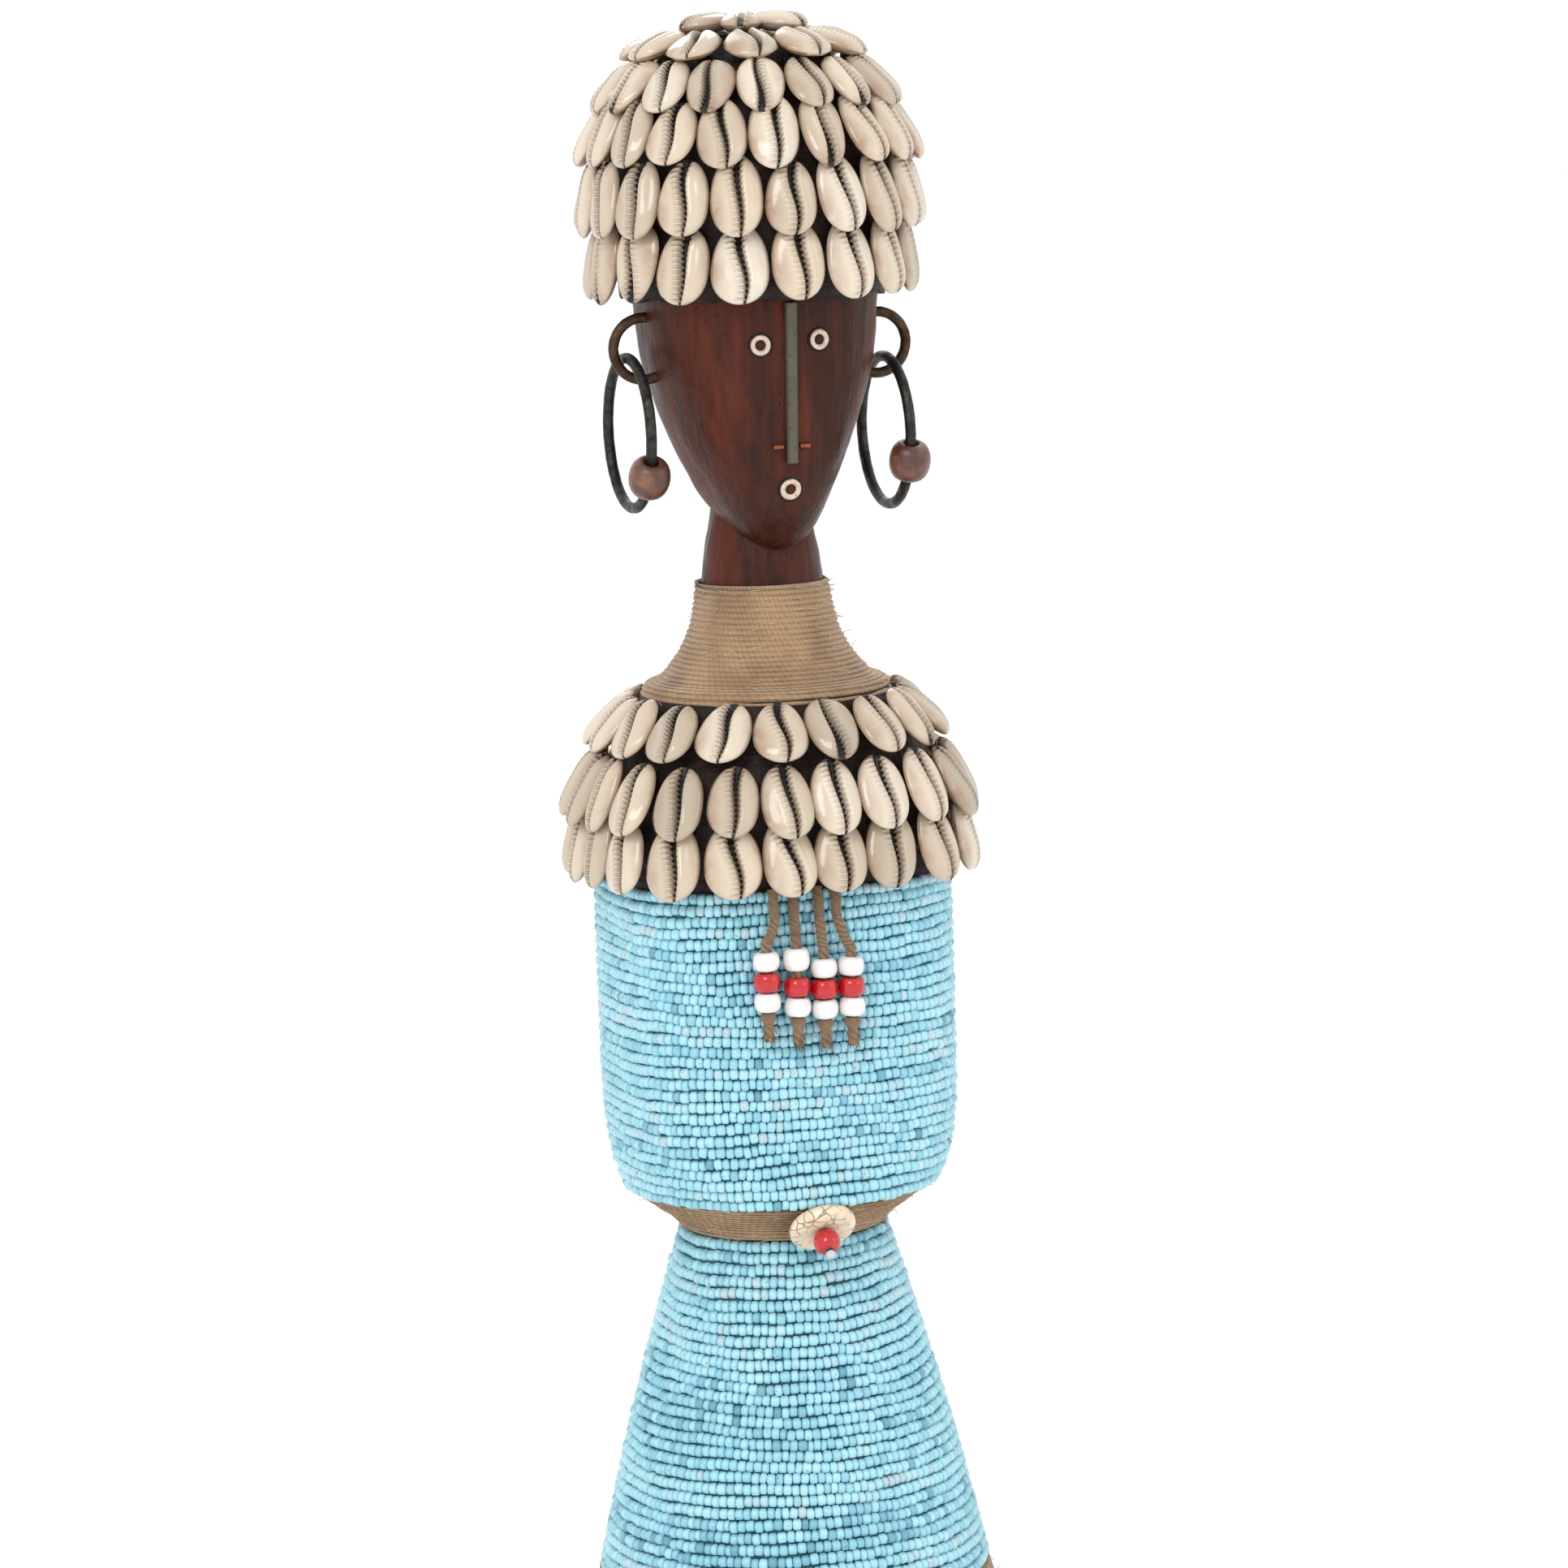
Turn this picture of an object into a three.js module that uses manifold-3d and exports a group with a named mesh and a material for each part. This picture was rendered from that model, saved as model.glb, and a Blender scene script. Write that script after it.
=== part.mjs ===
// A carved wooden fertility doll: cowrie hair and collar, wound seed beads, twine wraps and earrings.
// Millimetres, +Z up, the doll looks along -Y and stands with the centre of its foot at the origin.
import * as THREE from 'three';
import { mergeVertices } from 'three/addons/utils/BufferGeometryUtils.js';
import Module from 'manifold-3d';

const wasm = await Module();
wasm.setup();

// Driving dimensions
const GAP = 0.3;                 // clearance between touching pieces
const TWINE = 1.5;               // thickness of one layer of twine wrap
const BEADING = 3.1;             // thickness of the wound seed beads
const FOOT_RADIUS = 61.5;
const FOOT_HEIGHT = 3;
const HEM_HEIGHT = 24;
const SKIRT_HEIGHT = 101;
const WAIST_HEIGHT = 12;
const TORSO_HEIGHT = 87;
const COLLAR_HEIGHT = 57;
const NECK_WRAP_HEIGHT = 28;
const NECK_HEIGHT = 9.5;         // bare wood between the wrap and the chin
const FACE_HEIGHT = 70.5;        // chin to hairline
const HAIR_HEIGHT = 72;          // hairline to the top of the pitch bed
const HEM_TOP_RADIUS = 54.6;     // wood radii
const SKIRT_FOOT_RADIUS = 53;
const SKIRT_BELLY = 1.3;
const WAIST_RADIUS = 26.2;
const TORSO_RADIUS = 47.4;
const NECK_ROOT_RADIUS = 29.5;
const NECK_RADIUS = 17.2;
const HEAD_HALF_WIDTH = 34;
const HAIR_RADIUS = 39.5;        // widest radius of the pitch bed
const HAIRLINE_RADIUS = 37;
const PITCH = 4;                 // thickness of the collar's pitch bed
const SHELL_WIDTH = 14.6;
const SHELL_HEIGHT = 5.2;
const SHELL_OVERLAP = 0.8;       // neighbours on one string press together by this much
const EAR_WIRE = 2.9;
const EAR_LOOP_RADIUS = 8.6;
const HOOP_WIRE = 3;
const HOOP_RADIUS = 20.8;
const HOOP_BEAD = 11.6;
const NOSE_ROD = 3.4;
const RING_OUTER = 5.8;          // bone rings of the eyes and the mouth
const RING_BORE = 2.9;
const RING_DEPTH = 3;
const RING_PROUD = 0.3;
const CORD = 3;                  // tassel twine
const CORD_BEAD = 7.5;
const CORD_BEAD_HEIGHT = 5.3;
const DISC = 18.9;
const DISC_THICKNESS = 3.8;
const NAVEL_PIN = 1.8;
const NAVEL_PIN_DEPTH = 8;         // how far the pin goes into the wood
const NAVEL_BEAD = 7.6;
const NAVEL_BEAD_HEIGHT = 5.6;
const STOP_BEAD = 2.7;
const STOP_BEAD_HEIGHT = 2.2;
const EDGE = 0.4;                // the skirt's beads end this far inside their band
const ROUND = 24;                // facets round the body

// Levels that follow from the heights
const HEM_TOP = FOOT_HEIGHT + HEM_HEIGHT;
const SKIRT_TOP = HEM_TOP + SKIRT_HEIGHT;
const WAIST_TOP = SKIRT_TOP + WAIST_HEIGHT;
const TORSO_TOP = WAIST_TOP + TORSO_HEIGHT;
const SHOULDER = TORSO_TOP + COLLAR_HEIGHT;
const WRAP_TOP = SHOULDER + NECK_WRAP_HEIGHT;
const CHIN = WRAP_TOP + NECK_HEIGHT;
const HAIRLINE = CHIN + FACE_HEIGHT;
const CROWN = HAIRLINE + HAIR_HEIGHT;

const doll = new THREE.Group();
const colours = {
  wood: [0x4b231a, 0.45, 0], pitch: [0x281c1a, 0.6, 0], shell: [0xd7c6ac, 0.25, 0],
  twine: [0x967d62, 0.9, 0], blue: [0x8cc8dc, 0.4, 0], darkMetal: [0x41413e, 0.45, 0.9],
  bronze: [0x4b3c2d, 0.45, 0.8], brass: [0x646455, 0.4, 0.9], copper: [0xb96441, 0.35, 1],
  bone: [0xded0be, 0.5, 0], turned: [0x6e4132, 0.4, 0], red: [0xc8141e, 0.15, 0],
  white: [0xf0ebeb, 0.2, 0], stone: [0xebdcc3, 0.4, 0], glass: [0xb4bec8, 0.1, 0.3],
};

// ---- Helpers: closed meshes, booleans and placing ----

// A geometry with only merged positions, whose faces point outwards.
function closed(geometry) {
  const bare = geometry.index ? geometry.toNonIndexed() : geometry.clone();
  bare.deleteAttribute('normal');
  bare.deleteAttribute('uv');
  const merged = mergeVertices(bare, 1e-4);
  const p = merged.attributes.position;
  const faces = [];
  let volume = 0;
  const [a, b, c] = [new THREE.Vector3(), new THREE.Vector3(), new THREE.Vector3()];
  for (let i = 0; i < merged.index.count; i += 3) {
    const [u, v, w] = [0, 1, 2].map((k) => merged.index.getX(i + k));
    if (u === v || v === w || w === u) continue;
    a.fromBufferAttribute(p, u);
    b.fromBufferAttribute(p, v);
    c.fromBufferAttribute(p, w);
    volume += a.dot(b.cross(c));
    faces.push(u, v, w);
  }
  if (volume < 0) faces.reverse();
  merged.setIndex(faces);
  return merged;
}

function toSolid(geometry) {
  const g = closed(geometry);
  return new wasm.Manifold(new wasm.Mesh({
    numProp: 3,
    vertProperties: Float32Array.from(g.attributes.position.array),
    triVerts: Uint32Array.from(g.index.array),
  }));
}

function fromSolid(solid) {
  const mesh = solid.getMesh();
  const g = new THREE.BufferGeometry();
  g.setAttribute('position', new THREE.BufferAttribute(mesh.vertProperties, 3));
  g.setIndex(Array.from(mesh.triVerts));
  return g;
}

function add(name, geometry, colour, place = new THREE.Matrix4()) {
  const [hex, roughness, metalness] = colours[colour];
  const material = new THREE.MeshStandardMaterial({ color: hex, roughness, metalness });
  const mesh = new THREE.Mesh(closed(geometry), material);
  mesh.name = name;
  mesh.applyMatrix4(place);
  doll.add(mesh);
}

// A turned solid about Z from [radius, height] points.
function turned(points, segments) {
  const profile = points.map(([r, z]) => new THREE.Vector2(r, z));
  return new THREE.LatheGeometry(profile, segments).rotateX(Math.PI / 2);
}

// A plain round peg about Z between two heights.
function peg(radius, low, high, segments) {
  return turned([[0, low], [radius, low], [radius, high], [0, high]], segments);
}

// A matrix that puts local Z along a direction at a point.
function aim(point, direction, side = new THREE.Vector3(1, 0, 0)) {
  const z = direction.clone().normalize();
  const x = side.clone().addScaledVector(z, -side.dot(z)).normalize();
  const y = new THREE.Vector3().crossVectors(z, x);
  return new THREE.Matrix4().makeBasis(x, y, z).setPosition(point);
}

// A round bar of constant section along a curve.
function bar(curve, radius, steps, sides = 8) {
  const shape = new THREE.Shape();
  for (let i = 0; i < sides; i += 1) {
    const turn = (i + 0.5) * 2 * Math.PI / sides;
    const point = [radius * Math.cos(turn), radius * Math.sin(turn)];
    if (i === 0) shape.moveTo(...point);
    else shape.lineTo(...point);
  }
  shape.closePath();
  return new THREE.ExtrudeGeometry(shape, { steps, bevelEnabled: false, extrudePath: curve });
}

// A ring of round wire about Z.
function wireRing(radius, wire, around, sides) {
  return new THREE.TorusGeometry(radius, wire / 2, sides, around);
}

// A drilled bead about Z: a rounded outline round a straight hole.
function bead(width, height, bore, segments) {
  const points = [];
  const flat = bore + (width / 2 - bore) * 0.45;
  for (const [u, v] of [[bore, -1], [flat, -1], [width / 2 - 0.5, -0.62], [width / 2, 0]]) {
    points.push([u, v * height / 2]);
  }
  for (const [u, v] of [[width / 2 - 0.5, 0.62], [flat, 1], [bore, 1], [bore, -1]]) {
    points.push([u, v * height / 2]);
  }
  return turned(points, segments);
}

// ---- The body outline: wood radii by height, round or square-shouldered ----

const bodyStations = [
  [FOOT_HEIGHT + GAP, FOOT_RADIUS - 0.5],
  [HEM_TOP, HEM_TOP_RADIUS],
  [HEM_TOP + EDGE, SKIRT_FOOT_RADIUS],
  [HEM_TOP + SKIRT_HEIGHT * 0.5, lerp(SKIRT_FOOT_RADIUS, WAIST_RADIUS, 0.5) + SKIRT_BELLY],
  [SKIRT_TOP - EDGE, WAIST_RADIUS],
  [SKIRT_TOP, WAIST_RADIUS + TWINE],
  [SKIRT_TOP + WAIST_HEIGHT * 0.3, lerp(WAIST_RADIUS, TORSO_RADIUS, 0.22)],
  [SKIRT_TOP + WAIST_HEIGHT * 0.6, lerp(WAIST_RADIUS, TORSO_RADIUS, 0.46)],
  [WAIST_TOP, lerp(WAIST_RADIUS, TORSO_RADIUS, 0.72)],
  [WAIST_TOP + TORSO_HEIGHT * 0.14, lerp(WAIST_RADIUS, TORSO_RADIUS, 0.91)],
  [WAIST_TOP + TORSO_HEIGHT * 0.28, lerp(WAIST_RADIUS, TORSO_RADIUS, 0.985)],
  [WAIST_TOP + TORSO_HEIGHT * 0.45, TORSO_RADIUS],
  [TORSO_TOP, TORSO_RADIUS],
  [TORSO_TOP + COLLAR_HEIGHT * 0.12, TORSO_RADIUS - 1.2],
  [TORSO_TOP + COLLAR_HEIGHT * 0.36, TORSO_RADIUS - 2.4],
  [TORSO_TOP + COLLAR_HEIGHT * 0.56, lerp(NECK_ROOT_RADIUS, TORSO_RADIUS, 0.72)],
  [TORSO_TOP + COLLAR_HEIGHT * 0.75, lerp(NECK_ROOT_RADIUS, TORSO_RADIUS, 0.37)],
  [TORSO_TOP + COLLAR_HEIGHT * 0.9, lerp(NECK_ROOT_RADIUS, TORSO_RADIUS, 0.13)],
  [SHOULDER, NECK_ROOT_RADIUS],
  [SHOULDER + NECK_WRAP_HEIGHT * 0.14, lerp(NECK_RADIUS, NECK_ROOT_RADIUS, 0.72)],
  [SHOULDER + NECK_WRAP_HEIGHT * 0.32, lerp(NECK_RADIUS, NECK_ROOT_RADIUS, 0.42)],
  [SHOULDER + NECK_WRAP_HEIGHT * 0.6, lerp(NECK_RADIUS, NECK_ROOT_RADIUS, 0.15)],
  [WRAP_TOP, NECK_RADIUS],
  [WRAP_TOP + NECK_HEIGHT, NECK_RADIUS - 1.3],
  [CHIN + FACE_HEIGHT * 0.12, NECK_RADIUS - 3],
];

function lerp(a, b, t) {
  return a + (b - a) * t;
}

function smooth(a, b, z) {
  const t = Math.min(1, Math.max(0, (z - a) / (b - a)));
  return t * t * (3 - 2 * t);
}

function woodRadius(z) {
  const row = Math.max(1, bodyStations.findIndex(([level]) => level >= z));
  const [a, b] = [bodyStations[row - 1], bodyStations[row]];
  return lerp(a[1], b[1], (z - a[0]) / (b[0] - a[0]));
}

// The outline from one height to another, each radius grown by a thickness.
function outline(low, high, grow) {
  const between = bodyStations.map(([z]) => z).filter((z) => z > low + 0.2 && z < high - 0.2);
  return [low, ...between, high].map((z) => [woodRadius(z) + grow, z]);
}

// The torso's section is a rounded square that fades to a circle at the waist and the neck.
function squareness(z) {
  const rise = smooth(WAIST_TOP - 3, WAIST_TOP + TORSO_HEIGHT * 0.2, z);
  return rise * (1 - smooth(TORSO_TOP + COLLAR_HEIGHT * 0.2, SHOULDER, z));
}

function bodyPoint(r, turn, z) {
  const s = squareness(z);
  const power = 2 / (2 + 0.8 * s);
  const c = Math.cos(turn);
  const d = Math.sin(turn);
  const x = (1 - 0.037 * s) * r * Math.sign(c) * Math.abs(c) ** power;
  const y = (1 - 0.14 * s) * r * Math.sign(d) * Math.abs(d) ** power;
  return new THREE.Vector3(x, y, z);
}

// A turned body piece whose vertices are moved onto the body's own section.
function bodySolid(points) {
  const g = turned(points, ROUND);
  const p = g.attributes.position;
  for (let i = 0; i < p.count; i += 1) {
    const r = Math.hypot(p.getX(i), p.getY(i));
    const turn = Math.round(Math.atan2(p.getY(i), p.getX(i)) * 1e5) / 1e5;
    const q = bodyPoint(r, turn, p.getZ(i));
    p.setXYZ(i, q.x, q.y, q.z);
  }
  return g;
}

function sleeve(low, high, thickness) {
  const inner = outline(low, high, GAP);
  const outer = outline(low, high, GAP + thickness).reverse();
  return bodySolid([...inner, ...outer, inner[0]]);
}

// ---- The head: a mask-like front, a round back and a chin that curves back to the neck ----

const headStations = [            // share of the face height, half width share, front, back
  [0, 0.03, 16.5, -15],
  [0.03, 0.18, 19.5, -11],
  [0.08, 0.31, 22.5, -6],
  [0.135, 0.4, 25.4, 2],
  [0.18, 0.47, 27, 11],
  [0.3, 0.6, 29.2, 16.5],
  [0.42, 0.715, 30.4, 20.5],
  [0.56, 0.825, 31.4, 24.5],
  [0.75, 0.94, 32.4, 28],
  [1, 1, 33, 31],
];

const DOME = HAIR_HEIGHT - PITCH - 3;                 // rise of the skull above the hairline

function headAt(z) {
  const t = (z - CHIN) / FACE_HEIGHT;
  const row = headStations.findIndex(([u]) => u >= t);
  if (row === 0) return headStations[0].slice(1);
  if (row > 0) {
    const [a, b] = [headStations[row - 1], headStations[row]];
    const mix = (t - a[0]) / (b[0] - a[0]);
    return [1, 2, 3].map((k) => lerp(a[k], b[k], mix));
  }
  const dome = Math.sqrt(Math.max(0, 1 - ((z - HAIRLINE) / DOME) ** 2));
  const [, , front, back] = headStations[headStations.length - 1];
  return [dome, front * dome, back * dome];
}

// A point on the head: turn 0 looks forward along -Y, grow moves the surface outwards.
function headPoint(turn, z, grow = 0) {
  const [share, front, back] = headAt(z);
  const half = share * HEAD_HALF_WIDTH + grow;
  const middle = (front - back) / 2 * smooth(CHIN + 0.3 * FACE_HEIGHT, CHIN, z);
  const forward = Math.cos(turn) > 0;
  const power = forward ? 2 / 2.5 : 1;
  const depth = forward ? front - middle + grow : back + middle + grow;
  const x = half * Math.sign(Math.sin(turn)) * Math.abs(Math.sin(turn)) ** power;
  const y = -middle - depth * Math.sign(Math.cos(turn)) * Math.abs(Math.cos(turn)) ** power;
  return new THREE.Vector3(x, y, z);
}

function headSolid(grow) {
  const levels = headStations.map(([u]) => CHIN + u * FACE_HEIGHT);
  for (const u of [0.25, 0.5, 0.7, 0.86, 0.96]) levels.push(HAIRLINE + u * DOME);
  const top = HAIRLINE + DOME + grow;
  const profile = [[0, CHIN - 0.6 - grow], ...levels.map((z) => [10, z]), [0, top]];
  const g = turned(profile, ROUND);
  const p = g.attributes.position;
  for (let i = 0; i < p.count; i += 1) {
    const r = Math.hypot(p.getX(i), p.getY(i));
    if (r > 1) {
      const turn = Math.round(Math.atan2(p.getX(i), -p.getY(i)) * 1e5) / 1e5;
      const q = headPoint(turn, p.getZ(i), grow);
      p.setXYZ(i, q.x, q.y, q.z);
    } else if (p.getZ(i) < CHIN) {
      p.setXYZ(i, 0, (headStations[0][3] - headStations[0][2]) / 2, p.getZ(i));
    }
  }
  return g;
}

// The frame of a spot on the face: its point, outward normal and the matrix that aims local Z out of it.
function faceSpot(x, z) {
  const step = 0.5;
  const turnAt = (u, v) => {
    let [low, high] = [-1.2, 1.2];
    for (let i = 0; i < 30; i += 1) {
      const middle = (low + high) / 2;
      if (headPoint(middle, v).x < u) low = middle;
      else high = middle;
    }
    return headPoint(low, v);
  };
  const point = turnAt(x, z);
  const across = turnAt(x + step, z).sub(turnAt(x - step, z));
  const up = turnAt(x, z + step).sub(turnAt(x, z - step));
  const normal = new THREE.Vector3().crossVectors(across, up).normalize();
  return { point, normal, place: aim(point, normal) };
}

// ---- Face, ears and navel: places ----

const EYE_HALF_SPACING = 8.5;
const EYE_LEVEL = CHIN + 0.825 * FACE_HEIGHT;
const MOUTH_LEVEL = CHIN + 0.25 * FACE_HEIGHT;
const NOSE_TOP = HAIRLINE - 0.8;
const NOSE_BOTTOM = CHIN + 0.36 * FACE_HEIGHT;
const NOSTRIL_LEVEL = NOSE_BOTTOM + 4.6;
const NOSTRIL_PIN = 1.4;
const EAR_FORWARD = 6;
const EAR_LEVEL = CHIN + 0.79 * FACE_HEIGHT;
const EAR_CENTRE = HEAD_HALF_WIDTH + 0.2;
const LEFT_EAR_RISE = 1.6;       // the left ear loop is set higher than the right one
const NAVEL_LEVEL = SKIRT_TOP + 0.77 * WAIST_HEIGHT;
const NAVEL_TILT = 0.768;        // below the level, in radians
const NAVEL_SIDE = -2;

const noseTop = faceSpot(0, NOSE_TOP).point;
const noseBottom = faceSpot(0, NOSE_BOTTOM).point;
noseTop.y -= NOSE_ROD / 2 - 0.5;
noseBottom.y -= NOSE_ROD / 2 - 0.5;

const rod = (radius) => bar(new THREE.LineCurve3(noseTop, noseBottom), radius, 1);
const rings = {
  eye_left: faceSpot(-EYE_HALF_SPACING, EYE_LEVEL),
  eye_right: faceSpot(EYE_HALF_SPACING, EYE_LEVEL + 0.8),
  mouth: faceSpot(0, MOUTH_LEVEL),
};
const sides = { left: -1, right: 1 };

function earLevel(side) {
  return side < 0 ? EAR_LEVEL + LEFT_EAR_RISE : EAR_LEVEL;
}

class EarArc extends THREE.Curve {
  constructor(side) {
    super();
    this.side = side;
  }

  getPoint(t, target = new THREE.Vector3()) {
    const turn = lerp(2.35, -2.35, t);
    const x = this.side * (EAR_CENTRE + EAR_LOOP_RADIUS * Math.cos(turn));
    return target.set(x, -EAR_FORWARD, earLevel(this.side) + EAR_LOOP_RADIUS * Math.sin(turn));
  }
}

function nostrilPin(side, radius) {
  const inner = faceSpot(side * (NOSE_ROD / 2 + 0.7), NOSTRIL_LEVEL).point;
  const outer = faceSpot(side * (NOSE_ROD / 2 + 3.5), NOSTRIL_LEVEL).point;
  inner.y -= NOSTRIL_PIN / 2 - 0.3;
  outer.y -= NOSTRIL_PIN / 2;
  return bar(new THREE.LineCurve3(inner, outer), radius, 1);
}

// The navel pin leaves the undercut waist forwards and down.
const slope = new THREE.Vector3(0, -Math.cos(NAVEL_TILT), -Math.sin(NAVEL_TILT));
const navelRoot = new THREE.Vector3(NAVEL_SIDE, -woodRadius(NAVEL_LEVEL), NAVEL_LEVEL);

function alongPin(distance) {
  return aim(navelRoot.clone().addScaledVector(slope, distance), slope);
}

// ---- Wood ----

function coreBlank() {
  const stations = bodyStations.map(([z, r]) => [r, z]);
  const foot = [[0, 0], [FOOT_RADIUS, 0], [FOOT_RADIUS, FOOT_HEIGHT], [stations[0][0], FOOT_HEIGHT]];
  const top = bodyStations[bodyStations.length - 1][0];
  return toSolid(bodySolid([...foot, ...stations, [0, top]])).add(toSolid(headSolid(0)));
}

function drilledCore() {
  let core = coreBlank();
  const cut = (geometry, place) => {
    core = core.subtract(toSolid(place ? geometry.applyMatrix4(place) : geometry));
  };
  for (const spot of Object.values(rings)) {
    cut(peg(RING_OUTER / 2 + GAP, -RING_DEPTH - GAP, 3, 16), spot.place);
  }
  cut(rod(NOSE_ROD / 2 + GAP));
  for (const side of Object.values(sides)) {
    cut(bar(new EarArc(side), EAR_WIRE / 2 + GAP, 16));
    cut(nostrilPin(side, NOSTRIL_PIN / 2 + GAP));
  }
  cut(peg(NAVEL_PIN / 2 + GAP, -NAVEL_PIN_DEPTH - 1, 5, 10), alongPin(0));
  return fromSolid(core);
}

add('carved_core', drilledCore(), 'wood');

// ---- Pitch beds ----

const BED_WAIST = HAIRLINE + 0.38 * HAIR_HEIGHT;      // height of the hair bed's widest girth

function hairBedRadius(z) {
  if (z < BED_WAIST) return lerp(HAIRLINE_RADIUS, HAIR_RADIUS, smooth(HAIRLINE - 4, BED_WAIST, z));
  const rise = Math.min(1, (z - BED_WAIST) / (CROWN - BED_WAIST));
  return HAIR_RADIUS * (1 - rise ** 2.3) ** (1 / 2.3);
}

function hairBed() {
  const points = [[0, HAIRLINE], [HAIRLINE_RADIUS, HAIRLINE]];
  for (const u of [0.18, 0.38, 0.52, 0.66, 0.78, 0.87, 0.94, 0.985]) {
    const z = HAIRLINE + u * HAIR_HEIGHT;
    points.push([hairBedRadius(z), z]);
  }
  points.push([0, CROWN]);
  const bed = toSolid(turned(points, ROUND)).subtract(toSolid(headSolid(GAP)));
  return fromSolid(bed.subtract(toSolid(rod(NOSE_ROD / 2 + GAP))));
}

add('hair_pitch_bed', hairBed(), 'pitch');

const COLLAR_EDGE = TORSO_TOP + 0.5;                   // just above the last round of torso beads

function collarBed() {
  const inner = outline(TORSO_TOP, SHOULDER, GAP);
  inner[0][1] = COLLAR_EDGE;
  const outer = inner.slice(0, -1).map(([r, z]) => [r + PITCH, z]).reverse();
  outer[outer.length - 1][0] -= 1.5;
  outer[0][0] -= 0.4;
  return bodySolid([...inner, ...outer, inner[0]]);
}

add('collar_pitch_bed', collarBed(), 'pitch');

// ---- Twine wraps and wound beads ----

add('hem_twine_wrap', sleeve(FOOT_HEIGHT + 2 * GAP, HEM_TOP, TWINE), 'twine');
add('skirt_bead_winding', sleeve(HEM_TOP + EDGE, SKIRT_TOP - EDGE, BEADING), 'blue');

function waistWrap() {
  const ring = toSolid(sleeve(SKIRT_TOP, WAIST_TOP - GAP, TWINE));
  const hole = peg(NAVEL_PIN / 2 + GAP, -4, 6, 10);
  return ring.subtract(toSolid(hole.applyMatrix4(alongPin(0))));
}

add('waist_twine_wrap', fromSolid(waistWrap()), 'twine');
add('torso_bead_winding', sleeve(WAIST_TOP, TORSO_TOP, BEADING), 'blue');
add('neck_twine_wrap', sleeve(SHOULDER, WRAP_TOP, TWINE), 'twine');

// ---- Cowrie rows ----

// One cowrie about its widest point: tip down along -Z, back at local y = 0, mouth towards +Y.
const WIDEST = 0.16;                                    // below the middle, as a share of the length

function cowrie(length) {
  const half = SHELL_WIDTH / 2;
  const profile = [[0, WIDEST - 0.5], [1, 0], [0.8, WIDEST + 0.3], [0, WIDEST + 0.5]];
  const g = turned(profile.map(([r, z]) => [r * half, z * length]), 4);
  const p = g.attributes.position;
  for (let i = 0; i < p.count; i += 1) p.setY(i, (p.getY(i) / half + 1) / 2 * SHELL_HEIGHT);
  return g;
}

// Spots at equal spacing along a closed curve given by a function of turn.
function evenSpots(curve, count, phase) {
  const fine = 720;
  const points = Array.from({ length: fine + 1 }, (_, i) => curve(i / fine * 2 * Math.PI));
  const lengths = [0];
  for (let i = 1; i <= fine; i += 1) lengths.push(lengths[i - 1] + points[i].distanceTo(points[i - 1]));
  const spots = [];
  for (let k = 0; k < count; k += 1) {
    const wanted = ((k + phase) / count) % 1 * lengths[fine];
    const i = Math.max(1, lengths.findIndex((s) => s >= wanted));
    const tangent = points[i].clone().sub(points[i - 1]).normalize();
    const point = points[i].clone().addScaledVector(tangent, wanted - lengths[i]);
    spots.push({ point, outward: new THREE.Vector3(tangent.y, -tangent.x, 0) });
  }
  return { spots, perimeter: lengths[fine] };
}

// A level curve moved outwards and upwards.
function moved(curve, out, rise) {
  return (turn) => {
    const step = 0.01;
    const tangent = curve(turn + step).sub(curve(turn - step)).normalize();
    const point = curve(turn).addScaledVector(new THREE.Vector3(tangent.y, -tangent.x, 0), out);
    point.z += rise;
    return point;
  };
}

// One strung row: shells shoulder to shoulder on a bed that slopes by lean, tips tilted outwards.
function cowrieRow(name, bed, lean, tilt, length, phase) {
  const lift = SHELL_HEIGHT / 2 + GAP + 0.46 * length * Math.sin(tilt);
  const down = WIDEST * length;
  const out = lift * Math.cos(lean) + down * Math.sin(lean + tilt);
  const curve = moved(bed, out, lift * Math.sin(lean) - down * Math.cos(lean + tilt));
  const { perimeter } = evenSpots(curve, 1, 0);
  const count = Math.max(3, Math.ceil(perimeter / (SHELL_WIDTH - SHELL_OVERLAP)));
  let row = null;
  for (const { point, outward } of evenSpots(curve, count, phase).spots) {
    const up = new THREE.Vector3(0, 0, Math.cos(lean)).addScaledVector(outward, -Math.sin(lean));
    const normal = outward.clone().multiplyScalar(Math.cos(lean));
    normal.z = Math.sin(lean);
    const axis = up.clone().multiplyScalar(Math.cos(tilt)).addScaledVector(normal, -Math.sin(tilt));
    const face = normal.clone().multiplyScalar(Math.cos(tilt)).addScaledVector(up, Math.sin(tilt));
    const side = new THREE.Vector3().crossVectors(face, axis);
    const place = new THREE.Matrix4().makeBasis(side, face, axis);
    place.setPosition(point.clone().addScaledVector(face, -SHELL_HEIGHT / 2));
    const shell = toSolid(cowrie(length).applyMatrix4(place));
    row = row ? row.add(shell) : shell;
  }
  add(name, fromSolid(row), 'shell');
}

// Hair rows: the middle of each shell as a share of the bed's height, tilt and length.
const HAIR_ROW_STEP = 0.265 * HAIR_HEIGHT;
const hairRows = [
  { share: 0.085, tilt: 0.2, length: 1.1, phase: 0 },
  { share: 0.345, tilt: 0.24, length: 1.1, phase: 0.5 },
  { share: 0.59, tilt: 0.22, length: 1.05, phase: 0 },
  { share: 0.8, tilt: 0.18, length: 0.92, phase: 0.5 },
  { share: 0.935, tilt: 0.2, length: 0.74, phase: 0.2 },
  { share: 0.99, tilt: 0.34, length: 0.62, phase: 0.6 },
];

function hairNormal(z) {
  const step = 0.6;
  const slopeHere = (hairBedRadius(z + step) - hairBedRadius(z - step)) / (2 * step);
  return Math.atan(-slopeHere);
}

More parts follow.
